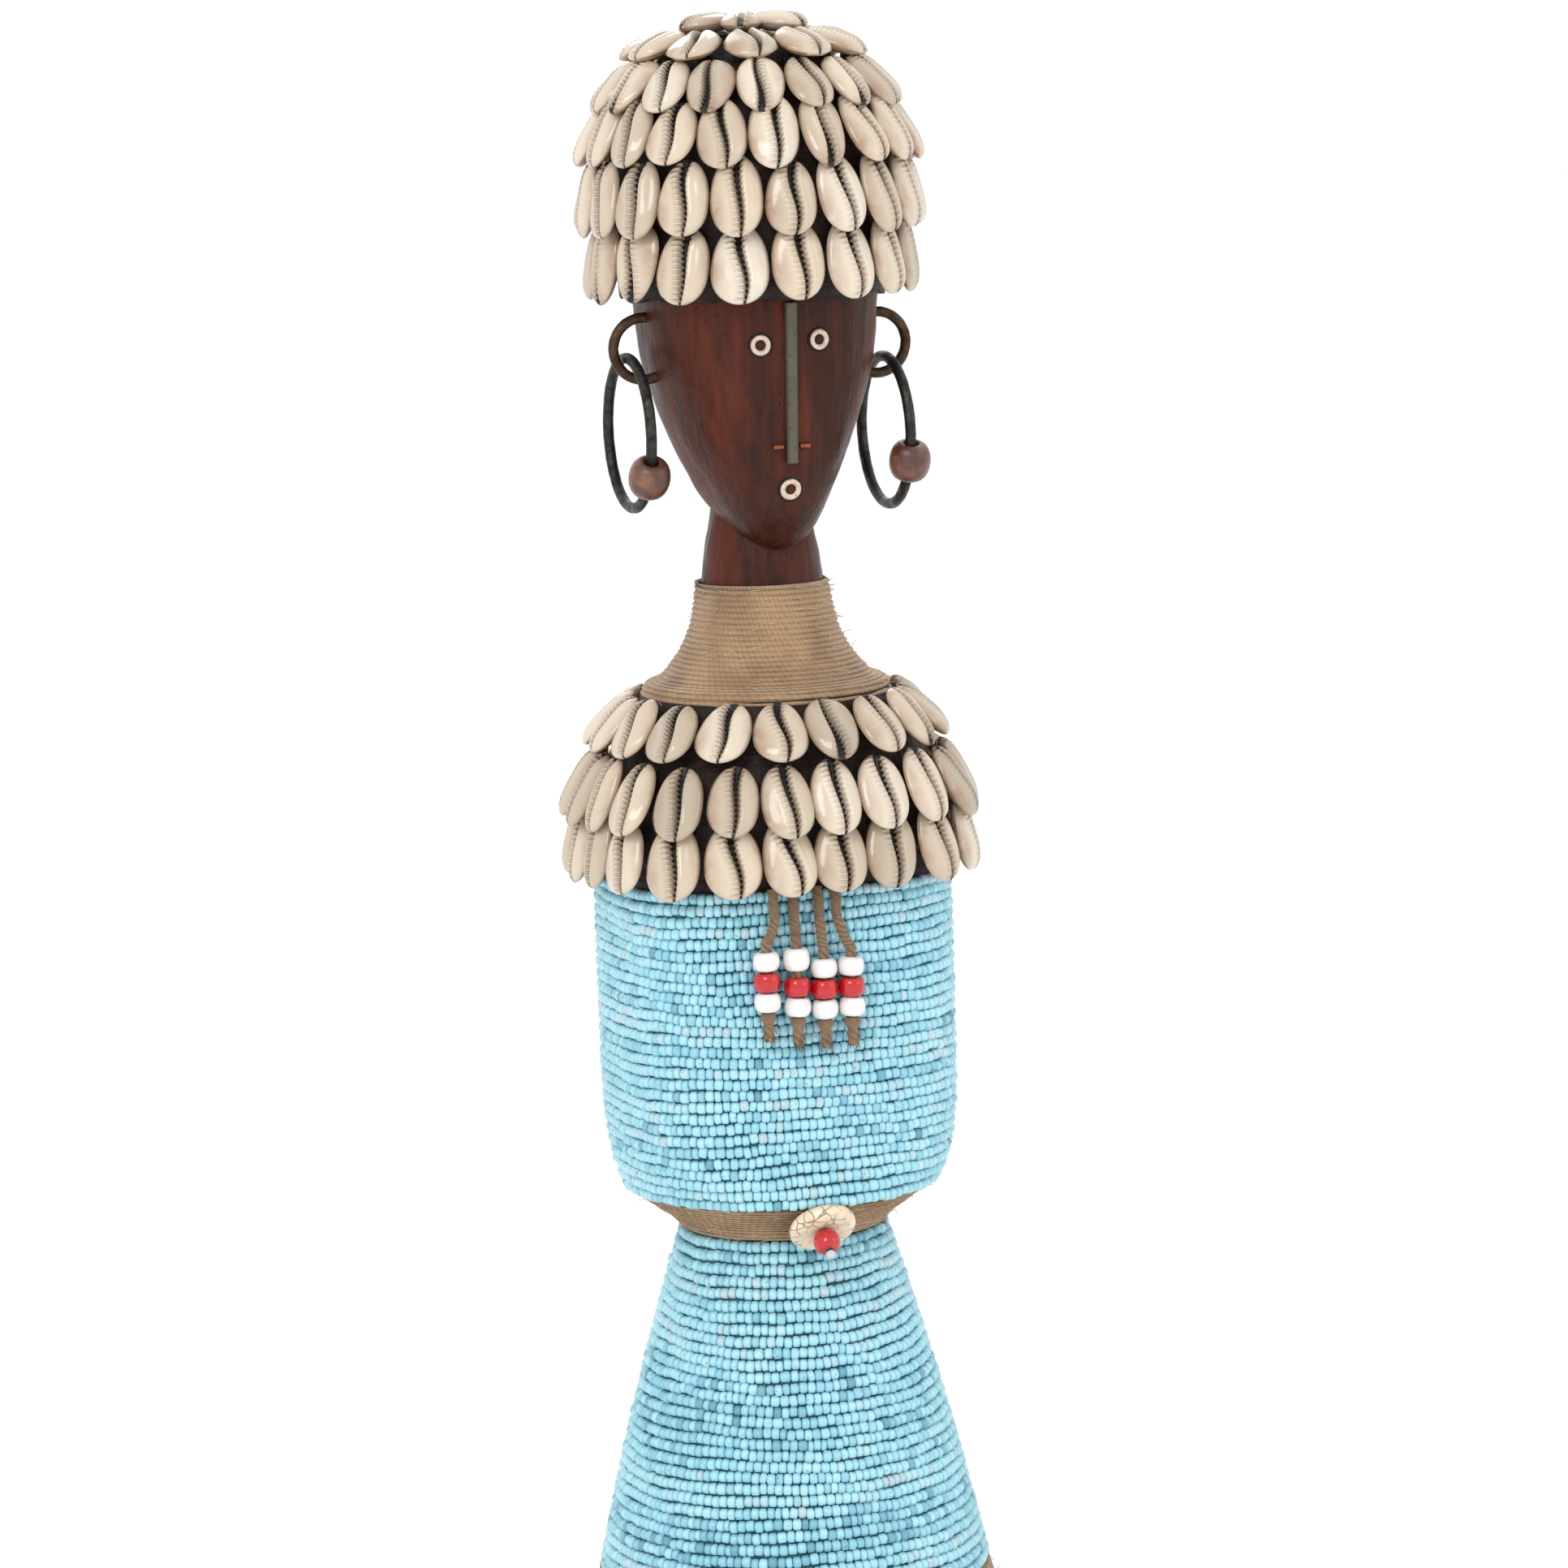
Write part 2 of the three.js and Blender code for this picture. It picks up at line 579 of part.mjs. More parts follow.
hairRows.forEach(({ share, tilt, length, phase }, index) => {
  const z = HAIRLINE + share * HAIR_HEIGHT;
  const lean = Math.max(0, hairNormal(Math.min(z, CROWN - 0.8)));
  const size = length * HAIR_ROW_STEP;
  const radius = hairBedRadius(z);
  const bed = (turn) => new THREE.Vector3(radius * Math.cos(turn), radius * Math.sin(turn), z);
  cowrieRow(`hair_cowrie_row_${index + 1}`, bed, lean, tilt, size, phase);
});

// Collar rows, from the lowest up.
const COLLAR_ROW_STEP = 0.32 * COLLAR_HEIGHT;
const collarRows = [
  { share: 0.17, tilt: 0.22, length: 1.12, phase: 0.3 },
  { share: 0.44, tilt: 0.25, length: 1.12, phase: 0.8 },
  { share: 0.72, tilt: 0.25, length: 1.05, phase: 0.3 },
];

collarRows.forEach(({ share, tilt, length, phase }, index) => {
  const z = TORSO_TOP + share * COLLAR_HEIGHT;
  const reach = 0.1 * COLLAR_HEIGHT;
  const lean = Math.atan((woodRadius(z - reach) - woodRadius(z + reach)) / (2 * reach));
  const bed = (turn) => bodyPoint(woodRadius(z) + GAP + PITCH, turn, z);
  cowrieRow(`collar_cowrie_row_${index + 1}`, bed, lean, tilt, length * COLLAR_ROW_STEP, phase);
});

// ---- Face and ears ----

add('nose_rod', rod(NOSE_ROD / 2), 'brass');
for (const [name, spot] of Object.entries(rings)) {
  const [piece, side] = name.split('_');
  const tail = side ? `_${side}` : '';
  const [inside, outside] = [RING_BORE / 2, RING_OUTER / 2];
  const ring = [[inside, -RING_DEPTH], [outside, -RING_DEPTH], [outside, RING_PROUD], [inside, RING_PROUD]];
  add(`${piece}_ring${tail}`, turned([...ring, ring[0]], 16), 'bone', spot.place);
  const plug = RING_BORE / 2 - GAP;
  add(`${piece}_plug${tail}`, peg(plug, -RING_DEPTH, 0.1, 12), 'wood', spot.place);
}

const HOOP_SHIFT = { left: 4.8, right: 2 };            // along the ear loop, out from its centre
const HOOP_LIFT = { left: 0, right: 1 };               // above the hoop's lowest place in the loop
const HOOP_ROOM = EAR_LOOP_RADIUS - (EAR_WIRE + HOOP_WIRE) / 2 - GAP;
const HOOP_BEAD_TURN = { left: 0.56, right: 0.36 };   // below the level of the hoop's centre, at its front

for (const [side, sign] of Object.entries(sides)) {
  add(`nostril_pin_${side}`, nostrilPin(sign, NOSTRIL_PIN / 2), 'copper');
  add(`ear_loop_${side}`, bar(new EarArc(sign), EAR_WIRE / 2, 14), 'bronze');
  const drop = Math.sqrt(HOOP_ROOM ** 2 - HOOP_SHIFT[side] ** 2) - HOOP_LIFT[side];
  const level = earLevel(sign) - drop - HOOP_RADIUS;
  const centre = new THREE.Vector3(sign * (EAR_CENTRE + HOOP_SHIFT[side]), -EAR_FORWARD, level);
  const plane = aim(centre, new THREE.Vector3(1, 0, 0), new THREE.Vector3(0, 1, 0));
  add(`earring_hoop_${side}`, wireRing(HOOP_RADIUS, HOOP_WIRE, 24, 8), 'darkMetal', plane);
  const turn = HOOP_BEAD_TURN[side];
  const spot = centre.clone();
  spot.y -= HOOP_RADIUS * Math.cos(turn);
  spot.z -= HOOP_RADIUS * Math.sin(turn);
  const along = new THREE.Vector3(0, -Math.sin(turn), Math.cos(turn));
  const height = HOOP_BEAD - 1;
  const bulge = HOOP_RADIUS - Math.sqrt(HOOP_RADIUS ** 2 - (height / 2) ** 2);
  const bore = HOOP_WIRE / 2 + bulge + GAP;
  add(`hoop_bead_${side}`, bead(HOOP_BEAD, height, bore, 14), 'turned', aim(spot, along));
}

// ---- Navel ----

const discStart = TWINE + 4 * GAP;                     // clear of the twine wrap, which slopes away
const beadStart = discStart + DISC_THICKNESS + GAP;
const stopStart = beadStart + NAVEL_BEAD_HEIGHT + GAP;
add('navel_pin', peg(NAVEL_PIN / 2, -NAVEL_PIN_DEPTH, stopStart - GAP, 10), 'darkMetal', alongPin(0));
const discProfile = [[1.5, 0], [DISC / 2 - 1, 0], [DISC / 2, 1.2], [DISC / 2, DISC_THICKNESS - 1.2],
  [DISC / 2 - 1.4, DISC_THICKNESS], [1.5, DISC_THICKNESS], [1.5, 0]];
add('navel_disc', turned(discProfile, 20), 'stone', alongPin(discStart));
add('navel_red_bead', bead(NAVEL_BEAD, NAVEL_BEAD_HEIGHT, NAVEL_PIN / 2 + GAP, 14), 'red',
  alongPin(beadStart + NAVEL_BEAD_HEIGHT / 2));
const stopEdge = STOP_BEAD / 2 - 0.25;
const stopProfile = [[0, 0], [stopEdge, 0], [STOP_BEAD / 2, STOP_BEAD_HEIGHT * 0.45],
  [stopEdge, STOP_BEAD_HEIGHT], [0, STOP_BEAD_HEIGHT]];
add('navel_stop_bead', turned(stopProfile, 10), 'glass', alongPin(stopStart));

// ---- Chest tassels ----

const CHEST = bodyPoint(TORSO_RADIUS + GAP + BEADING, -Math.PI / 2, TORSO_TOP - 20).y;
const TASSEL_TOP = TORSO_TOP - 4.5;
const STACK_PITCH = CORD_BEAD_HEIGHT + GAP;
const TASSEL_PITCH = CORD_BEAD + 0.4;
const TASSEL_MIDDLE = -5.15;
const tassels = [                  // place of the cord's top, sideways shift, drop to the knot, spare cord
  { top: -14.3, shift: -0.8, drop: 29.6, spare: 0.2, beadRise: 0 },
  { top: -8.6, shift: 0, drop: 31.6, spare: 1.6, beadRise: 1 },
  { top: -1.3, shift: 0, drop: 32.8, spare: 0.2, beadRise: 0 },
  { top: 3.8, shift: 0, drop: 32.8, spare: 0.2, beadRise: 0 },
];

tassels.forEach(({ top, shift, drop, spare, beadRise }, index) => {
  const name = `tassel_${index + 1}`;
  const low = TASSEL_MIDDLE + (index - 1.5) * TASSEL_PITCH + shift;
  const knot = TORSO_TOP - drop;
  const out = CHEST - CORD_BEAD / 2 - GAP;
  const stackTop = knot + GAP + 3 * STACK_PITCH + spare + beadRise;
  const against = CHEST - CORD / 2 - GAP;
  const route = new THREE.CatmullRomCurve3([
    new THREE.Vector3(top, against, TASSEL_TOP),
    new THREE.Vector3((top + low) / 2, (against + out) / 2, (TASSEL_TOP + stackTop) / 2),
    new THREE.Vector3(low, out, stackTop + 2.2),
    new THREE.Vector3(low, out, stackTop + 0.8),
    new THREE.Vector3(low, out, knot + GAP),
  ]);
  add(`${name}_cord`, bar(route, CORD / 2, 12), 'twine');
  const knotProfile = [[0, -8], [1.5, -8], [1.3, -4], [2.1, -2.4], [2.1, -0.8], [1.2, 0], [0, 0]];
  add(`${name}_knot`, turned(knotProfile, 10), 'twine', new THREE.Matrix4().setPosition(low, out, knot));
  const height = CORD_BEAD_HEIGHT;
  const stack = [['white_low', 0, 'white', height], ['red', 0, 'red', height],
    ['white_top', spare, 'white', height + beadRise]];
  stack.forEach(([kind, rise, colour, tall], k) => {
    const z = knot + GAP + k * STACK_PITCH + rise + tall / 2;
    const place = new THREE.Matrix4().setPosition(low, out, z);
    add(`${name}_${kind}_bead`, bead(CORD_BEAD, tall, CORD / 2 + GAP, 10), colour, place);
  });
});

export default doll;
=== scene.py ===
"""Carved fertility doll: cowrie hair and collar, wound seed beads, twine wraps, earrings and tassels."""
import math
from functools import partial
import bmesh
import bpy
import numpy as np
from bpy.props import FloatProperty, FloatVectorProperty, IntProperty, PointerProperty
from mathutils import Matrix, Vector, noise


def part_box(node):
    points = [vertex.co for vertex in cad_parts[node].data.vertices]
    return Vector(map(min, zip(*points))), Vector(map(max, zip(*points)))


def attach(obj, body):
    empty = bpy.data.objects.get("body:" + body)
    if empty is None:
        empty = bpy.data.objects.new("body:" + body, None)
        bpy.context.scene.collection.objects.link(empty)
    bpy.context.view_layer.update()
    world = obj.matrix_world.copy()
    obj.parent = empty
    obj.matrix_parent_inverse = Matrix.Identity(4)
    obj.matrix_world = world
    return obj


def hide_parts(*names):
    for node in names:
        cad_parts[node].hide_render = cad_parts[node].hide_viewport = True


bl_info = {
    "name": "Fertility Doll",
    "version": (1, 0, 0),
    "blender": (4, 5, 0),
    "location": "View3D > Sidebar > Doll",
    "description": "Builds the beaded fertility doll, its loose ornaments and its studio",
    "category": "Object",
}

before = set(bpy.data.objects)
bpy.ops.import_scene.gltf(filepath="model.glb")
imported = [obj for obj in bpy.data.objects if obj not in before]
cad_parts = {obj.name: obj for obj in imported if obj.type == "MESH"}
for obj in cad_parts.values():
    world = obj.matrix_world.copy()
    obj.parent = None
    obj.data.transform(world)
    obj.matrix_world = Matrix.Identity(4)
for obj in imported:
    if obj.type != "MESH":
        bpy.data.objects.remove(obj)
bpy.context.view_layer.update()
MM = 0.001


def low(node):
    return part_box(node)[0]


def high(node):
    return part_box(node)[1]


# ---- Levels, taken from the frame, in metres ----

GAP = 0.3 * MM          # between neighbouring pieces
TWINE = 1.5 * MM
CORD = 3 * MM
BEADING = 3.1 * MM      # depth of the seed beads on the wood
PITCH = 4 * MM          # depth of the collar's pitch
HEM_LOW, HEM_TOP = low("hem_twine_wrap").z, high("hem_twine_wrap").z
SKIRT_TOP, WAIST_TOP = low("waist_twine_wrap").z, low("torso_bead_winding").z
TORSO_TOP, SHOULDER = high("torso_bead_winding").z, low("neck_twine_wrap").z
WRAP_TOP, HAIRLINE, CROWN = high("neck_twine_wrap").z, low("hair_pitch_bed").z, high("hair_pitch_bed").z
CHIN = WRAP_TOP + 9.5 * MM
FACE = HAIRLINE - CHIN
HAIR = CROWN - HAIRLINE
HEAD_TOP = CROWN - 7 * MM   # wood under the pitch
COLLAR = SHOULDER - TORSO_TOP
EAR_RADIUS, EAR_WIRE, EAR_ARC = 8.6 * MM, 2.9 * MM, 2.35
HOOP_RADIUS, HOOP_WIRE = 20.8 * MM, 3 * MM
HOOP_BEAD_TURNS = {"left": 0.56, "right": 0.36}   # below the level of the hoop's middle
NAVEL_TILT = 0.768      # below level
NAVEL_MIDDLE = 4.6 * MM     # from the pin's root to the middle of the disc
NOSE_RADIUS, NOSTRIL_RADIUS = 1.7 * MM, 0.7 * MM
KNOT_FIBRES, WRAP_FIBRES = 46, 150

# ---- Outlines of the carved wood ----

UPPER_BODY = [
    (128, 27.7), (131.6, 31.0), (135.2, 36.0), (140, 41.5), (152.2, 45.5), (164.4, 47.1), (179.2, 47.4),
    (227, 47.4), (233.8, 46.2), (247.5, 45.0), (258.9, 42.4), (269.8, 36.1), (278.3, 31.8), (284, 29.5),
    (287.9, 26.1), (293, 22.4), (300.8, 19.1), (312, 17.2), (321.5, 15.9), (330, 14.2), (346, 12.0),
]
HEAD = [  # share of the face's height, half-width share, front and back in mm
    (0, 0.03, 16.5, -15), (0.03, 0.18, 19.5, -11), (0.08, 0.31, 22.5, -6), (0.135, 0.4, 25.4, 2),
    (0.18, 0.47, 27, 11), (0.3, 0.6, 29.2, 16.5), (0.42, 0.715, 30.4, 20.5), (0.56, 0.825, 31.4, 24.5),
    (0.75, 0.94, 32.4, 28), (1, 1, 33, 31),
]
HEAD_HALF_WIDTH = 34 * MM
FOOT = [(0, 0), (59.9, 0), (61.2, 0.4), (61.5, 1.2), (61.5, 2.4), (61.2, 3)]
NECK_END = 346 * MM     # inside the head


def smooth(a, b, x):
    t = min(1.0, max(0.0, (x - a) / (b - a)))
    return t * t * (3 - 2 * t)


def eased(stations, x, column=1):
    """Value at x on the smooth line through the stations, flat where they turn."""
    xs = [s[0] for s in stations]
    ys = [s[column] for s in stations]
    if x <= xs[0]:
        return ys[0]
    if x >= xs[-1]:
        return ys[-1]
    i = next(k for k in range(len(xs) - 1) if x <= xs[k + 1])
    slope = [(ys[k + 1] - ys[k]) / (xs[k + 1] - xs[k]) for k in range(len(xs) - 1)]

    def tangent(k):
        if k == 0 or k == len(xs) - 1:
            return slope[0 if k == 0 else -1]
        a, b = slope[k - 1], slope[k]
        return 0.0 if a * b <= 0 else 2 * a * b / (a + b)
    h = xs[i + 1] - xs[i]
    t = (x - xs[i]) / h
    a, b = ys[i], ys[i + 1]
    return ((1 + 2 * t) * (1 - t) ** 2 * a + t * (1 - t) ** 2 * h * tangent(i)
            + t * t * (3 - 2 * t) * b + t * t * (t - 1) * h * tangent(i + 1))


def wood_radius(z):
    if z >= SKIRT_TOP:
        return eased(UPPER_BODY, z / MM) * MM
    if z >= HEM_TOP:
        t = (z - HEM_TOP) / (SKIRT_TOP - HEM_TOP)
        return (53 + (26.2 - 53) * t + 1.3 * 4 * t * (1 - t)) * MM
    return (61 + (54.6 - 61) * max(0.0, (z - HEM_LOW) / (HEM_TOP - HEM_LOW))) * MM


def squareness(z):
    rise = smooth(WAIST_TOP - 3 * MM, WAIST_TOP + 0.2 * (TORSO_TOP - WAIST_TOP), z)
    return rise * (1 - smooth(TORSO_TOP + 0.2 * COLLAR, SHOULDER, z))


def body_point(r, turn, z):
    """A point on the body. Turn 0 looks forward along -Y and grows towards +X."""
    s = squareness(z)
    power = 2 / (2 + 0.8 * s)
    c, d = math.sin(turn), -math.cos(turn)
    x = (1 - 0.037 * s) * r * math.copysign(abs(c) ** power, c)
    y = (1 - 0.14 * s) * r * math.copysign(abs(d) ** power, d)
    return Vector((x, y, z))


def head_point(turn, z, grow=0.0):
    t = (z - CHIN) / FACE
    if t <= 1:
        share, front, back = (eased(HEAD, max(0, t), k) for k in (1, 2, 3))
    else:
        dome = math.sqrt(max(0.0, 1 - ((z - HAIRLINE) / (HEAD_TOP - HAIRLINE)) ** 2))
        share, front, back = dome, 33 * dome, 31 * dome
    front, back = front * MM, back * MM
    half = share * HEAD_HALF_WIDTH + grow
    middle = (front - back) / 2 * smooth(CHIN + 0.3 * FACE, CHIN, z)
    c, d = math.sin(turn), math.cos(turn)
    power = 0.8 if d > 0 else 1.0
    depth = (front - middle if d > 0 else back + middle) + grow
    return Vector((half * math.copysign(abs(c) ** power, c),
                   -middle - depth * math.copysign(abs(d) ** power, d), z))


def hair_radius(z):
    widest = HAIRLINE + 0.38 * HAIR
    if z < widest:
        return (37 + 2.5 * smooth(HAIRLINE - 4 * MM, widest, z)) * MM
    rise = min(1.0, (z - widest) / (CROWN - widest))
    return 39.5 * MM * (1 - rise ** 2.3) ** (1 / 2.3)


def face_turn(x, z):
    """The turn at which the face is x to the side at height z."""
    a, b = -1.2, 1.2
    for _ in range(30):
        m = (a + b) / 2
        a, b = (m, b) if head_point(m, z).x < x else (a, m)
    return a


def face_matrix(x, z):
    """A matrix whose Z leaves the face squarely at that spot."""
    def at(u, v):
        return head_point(face_turn(u, v), v)
    step = 0.5 * MM
    normal = (at(x + step, z) - at(x - step, z)).cross(at(x, z + step) - at(x, z - step)).normalized()
    return aimed(at(x, z), normal)


def based(x, y, z, point):
    """The matrix with these axes at that point."""
    return Matrix.Translation(point) @ Matrix((x, y, z)).transposed().to_4x4()


def aimed(point, direction, side=Vector((1, 0, 0))):
    """The matrix at that point whose Z runs that way and whose X leans to the side."""
    z = Vector(direction).normalized()
    x = (side - z * side.dot(z)).normalized()
    return based(x, z.cross(x), z, point)


def outward_of(point):
    """Straight out from the doll's upright axis."""
    return Vector((point[0], point[1], 0)).normalized()


# ---- Making pieces ----

def mesh_of(bm, name):
    mesh = bpy.data.meshes.new(name)
    bm.to_mesh(mesh)
    bm.free()
    return mesh


def moved(bm, matrix):
    bmesh.ops.transform(bm, matrix=matrix, verts=bm.verts)
    return bm


def piece(name, bm, body, slot_name, node_name=None, look=None):
    """Turns a bmesh into a finished piece that rides on a body."""
    bmesh.ops.recalc_face_normals(bm, faces=bm.faces)
    return settle(name, mesh_of(bm, name), body, slot_name, node_name, look)


def settle(name, mesh, body, slot_name, node_name=None, look=None):
    """Puts a mesh on its body in place of a frame node. The finish is the slot's own unless one is named."""
    mesh.polygons.foreach_set("use_smooth", [True] * len(mesh.polygons))
    mesh.materials.append(finish(look or slot_name))
    obj = bpy.data.objects.new(name, mesh)
    bpy.context.scene.collection.objects.link(obj)
    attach(obj, body)
    if node_name:
        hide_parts(node_name)
    return obj


def spun(profile, steps):
    """A closed turned shape about Z from (radius, height) points."""
    bm = bmesh.new()
    verts = [bm.verts.new((max(r, 0.0), 0, z)) for r, z in profile]
    edges = [bm.edges.new(pair) for pair in zip(verts, verts[1:])]
    bmesh.ops.spin(bm, geom=verts + edges, cent=(0, 0, 0), axis=(0, 0, 1), angle=2 * math.pi,
                   steps=steps, use_merge=True)
    bmesh.ops.remove_doubles(bm, verts=bm.verts, dist=1e-7)
    return bm


def spun_mm(profile, steps):
    return spun([(r * MM, z * MM) for r, z in profile], steps)


def swept(place, columns, rows):
    """A closed skin: place(u, v) gives the point for u and v from 0 to 1. Seams and poles merge, and
    open ends are filled. The UV map holds u and v."""
    bm = bmesh.new()
    bm.loops.layers.uv.new("UVMap")
    bmesh.ops.create_grid(bm, x_segments=columns, y_segments=rows, size=1.0, calc_uvs=True)
    for v in bm.verts:
        v.co = place(min(1.0, max(0.0, (v.co.x + 1) / 2)), min(1.0, max(0.0, (v.co.y + 1) / 2)))
    bmesh.ops.remove_doubles(bm, verts=bm.verts, dist=2e-6)
    bmesh.ops.holes_fill(bm, edges=[e for e in bm.edges if e.is_boundary])
    return bm


def line_at(points, share):
    """The point at that share of a line of points, and the way the line runs there."""
    i = min(int(share * (len(points) - 1)), len(points) - 2)
    t = share * (len(points) - 1) - i
    return points[i].lerp(points[i + 1], t), (points[i + 1] - points[i]).normalized()


CORD_STRANDS, CORD_TWISTS = 3, 5.5
LOBE_VALLEY = 0.72  # radius between two strands of a laid cord, as a share of the whole


def tube(route, radius, sides, rows, strands=0, twists=0.0, side=Vector((1, 0, 0))):
    """A round bar or laid cord along a line of points; strands gives it that many twisted lobes."""
    def place(u, v):
        point, direction = line_at(route, v)
        angle = 2 * math.pi * u
        r = radius
        if strands:
            lobe = abs(math.cos(strands / 2 * (angle + 2 * math.pi * twists * v)))
            r *= LOBE_VALLEY + (1 - LOBE_VALLEY) * lobe
        return aimed(point, direction, side) @ Vector((r * math.cos(angle), r * math.sin(angle), 0))
    return swept(place, sides, rows)


def ring_bar(matrix, ring_radius, wire, steps, sides, rough, start=0.0, end=2 * math.pi):
    """Round wire bent to a ring or an arc about the matrix's Z."""
    def place(u, v):
        turn, angle = start + (end - start) * v, 2 * math.pi * u
        uneven = noise.noise(Vector((math.cos(turn), math.sin(turn), math.cos(angle))) * 6)
        r = wire / 2 * (1 + rough * uneven)
        out = ring_radius + r * math.cos(angle)
        return matrix @ Vector((out * math.cos(turn), out * math.sin(turn), r * math.sin(angle)))
    return swept(place, sides, steps)


def stamped(bases, places, picks=None, seed=1, tones=None):
    """Many copies of a few small meshes with the same faces, each copy with its own "tone" from 0 to 1."""
    verts = len(bases[0].vertices)
    shapes = []
    for base in bases:
        co = np.empty(verts * 3, dtype=np.float32)
        base.vertices.foreach_get("co", co)
        shapes.append(np.c_[co.reshape(-1, 3), np.ones(verts)])
    picks = [0] * len(places) if picks is None else picks
    moves = np.array([[list(row) for row in m] for m in places])
    spread = np.einsum("nij,nvj->nvi", moves, np.array(shapes)[picks])[:, :, :3]
    bm = bmesh.new()
    for pick in picks:
        bm.from_mesh(bases[pick])
    mesh = mesh_of(bm, "Stamped")
    mesh.vertices.foreach_set("co", spread.astype(np.float32).ravel())
    tones = np.random.default_rng(seed).random(len(places)) if tones is None else tones
    layer = mesh.attributes.new("tone", "FLOAT", "POINT")
    layer.data.foreach_set("value", np.repeat(np.asarray(tones, dtype=np.float32), verts))
    mesh.update()
    return mesh


def ring_spots(curve, count, first_turn):
    """Points at even spacing on a level curve given by turn, each with its outward direction."""
    fine = 1440
    points = np.array([curve(i / fine * 2 * math.pi) for i in range(fine + 1)])
    run = np.r_[0, np.cumsum(np.linalg.norm(np.diff(points, axis=0), axis=1))]
    start = np.interp(first_turn % (2 * math.pi), np.linspace(0, 2 * math.pi, fine + 1), run)
    spots = []
    for k in range(count):
        at = (start + k / count * run[-1]) % run[-1]
        here = Vector([np.interp(at, run, points[:, j]) for j in range(3)])
        ahead = Vector([np.interp((at + 0.0002) % run[-1], run, points[:, j]) for j in range(3)])
        along = (ahead - here).normalized()
        spots.append((here, Vector((along.y, -along.x, 0)).normalized()))
    return spots


# ---- Shared finish groups and materials ----

def new_group(name, inputs, outputs):
    tree = bpy.data.node_groups.new(name, "ShaderNodeTree")
    for label, kind, value in inputs:
        socket = tree.interface.new_socket(label, in_out="INPUT", socket_type=kind)
        socket.default_value = value
    for label, kind in outputs:
        tree.interface.new_socket(label, in_out="OUTPUT", socket_type=kind)
    return tree, tree.nodes.new("NodeGroupInput"), tree.nodes.new("NodeGroupOutput")


def node(tree, kind, **settings):
    n = tree.nodes.new(kind)
    for key, value in settings.items():
        if key in n.inputs:
            n.inputs[key].default_value = value
        else:
            setattr(n, key, value)
    return n


def maths(tree, operation, a, b=0.0, clamp=False):
    n = tree.nodes.new("ShaderNodeMath")
    n.operation = operation
    n.use_clamp = clamp
    for i, value in enumerate((a, b)):
        if isinstance(value, (int, float)):
            n.inputs[i].default_value = value
        else:
            tree.links.new(value, n.inputs[i])
    return n.outputs[0]


def stretched_noise_group():
    """Noise pulled out along Z for grain, fibres and drips: one mask and one height."""
    tree, into, out = new_group("Stretched noise", [
        ("Across", "NodeSocketFloat", 300.0), ("Along", "NodeSocketFloat", 40.0),
        ("Detail", "NodeSocketFloat", 5.0), ("Contrast", "NodeSocketFloat", 1.0)],
        [("Mask", "NodeSocketFloat"), ("Height", "NodeSocketFloat")])
    coords = tree.nodes.new("ShaderNodeTexCoord")
    size = tree.nodes.new("ShaderNodeCombineXYZ")
    for k, label in enumerate(("Across", "Across", "Along")):
        tree.links.new(into.outputs[label], size.inputs[k])
    scaled = node(tree, "ShaderNodeVectorMath", operation="MULTIPLY")
    tree.links.new(coords.outputs["Object"], scaled.inputs[0])
    tree.links.new(size.outputs[0], scaled.inputs[1])
    fine = node(tree, "ShaderNodeTexNoise", Scale=1.0, Roughness=0.6, Distortion=0.4)
    tree.links.new(scaled.outputs[0], fine.inputs["Vector"])
    tree.links.new(into.outputs["Detail"], fine.inputs["Detail"])
    centred = maths(tree, "SUBTRACT", fine.outputs["Fac"], 0.5)
    pushed = maths(tree, "MULTIPLY", centred, into.outputs["Contrast"])
    mask = maths(tree, "ADD", pushed, 0.5, clamp=True)
    tree.links.new(mask, out.inputs["Mask"])
    tree.links.new(fine.outputs["Fac"], out.inputs["Height"])
    return tree


def speckle_group():
    """Specks, pits and patches of one size: a mask that is 1 in the specks."""
    tree, into, out = new_group("Specks and patches", [
        ("Scale", "NodeSocketFloat", 400.0), ("Cover", "NodeSocketFloat", 0.4),
        ("Softness", "NodeSocketFloat", 0.1)], [("Mask", "NodeSocketFloat")])
    coords = tree.nodes.new("ShaderNodeTexCoord")
    fine = node(tree, "ShaderNodeTexNoise", Detail=3.0, Roughness=0.55)
    tree.links.new(coords.outputs["Object"], fine.inputs["Vector"])
    tree.links.new(into.outputs["Scale"], fine.inputs["Scale"])
    below = maths(tree, "SUBTRACT", into.outputs["Cover"], fine.outputs["Fac"])
    share = maths(tree, "DIVIDE", below, into.outputs["Softness"])
    tree.links.new(maths(tree, "ADD", share, 0.5, clamp=True), out.inputs["Mask"])
    return tree


def blend_group():
    """Three colours laid over each other by two masks."""
    tree, into, out = new_group("Layered colour", [
        ("Base", "NodeSocketColor", (0.5, 0.5, 0.5, 1)), ("Second", "NodeSocketColor", (0.5, 0.5, 0.5, 1)),
        ("Second mask", "NodeSocketFloat", 0.0), ("Third", "NodeSocketColor", (0.5, 0.5, 0.5, 1)),
        ("Third mask", "NodeSocketFloat", 0.0)], [("Color", "NodeSocketColor")])
    under = node(tree, "ShaderNodeMix", data_type="RGBA")
    over = node(tree, "ShaderNodeMix", data_type="RGBA")
    tree.links.new(into.outputs["Second mask"], under.inputs["Factor"])
    tree.links.new(into.outputs["Base"], under.inputs[6])
    tree.links.new(into.outputs["Second"], under.inputs[7])
    tree.links.new(into.outputs["Third mask"], over.inputs["Factor"])
    tree.links.new(under.outputs[2], over.inputs[6])
    tree.links.new(into.outputs["Third"], over.inputs[7])
    tree.links.new(over.outputs[2], out.inputs["Color"])
    return tree


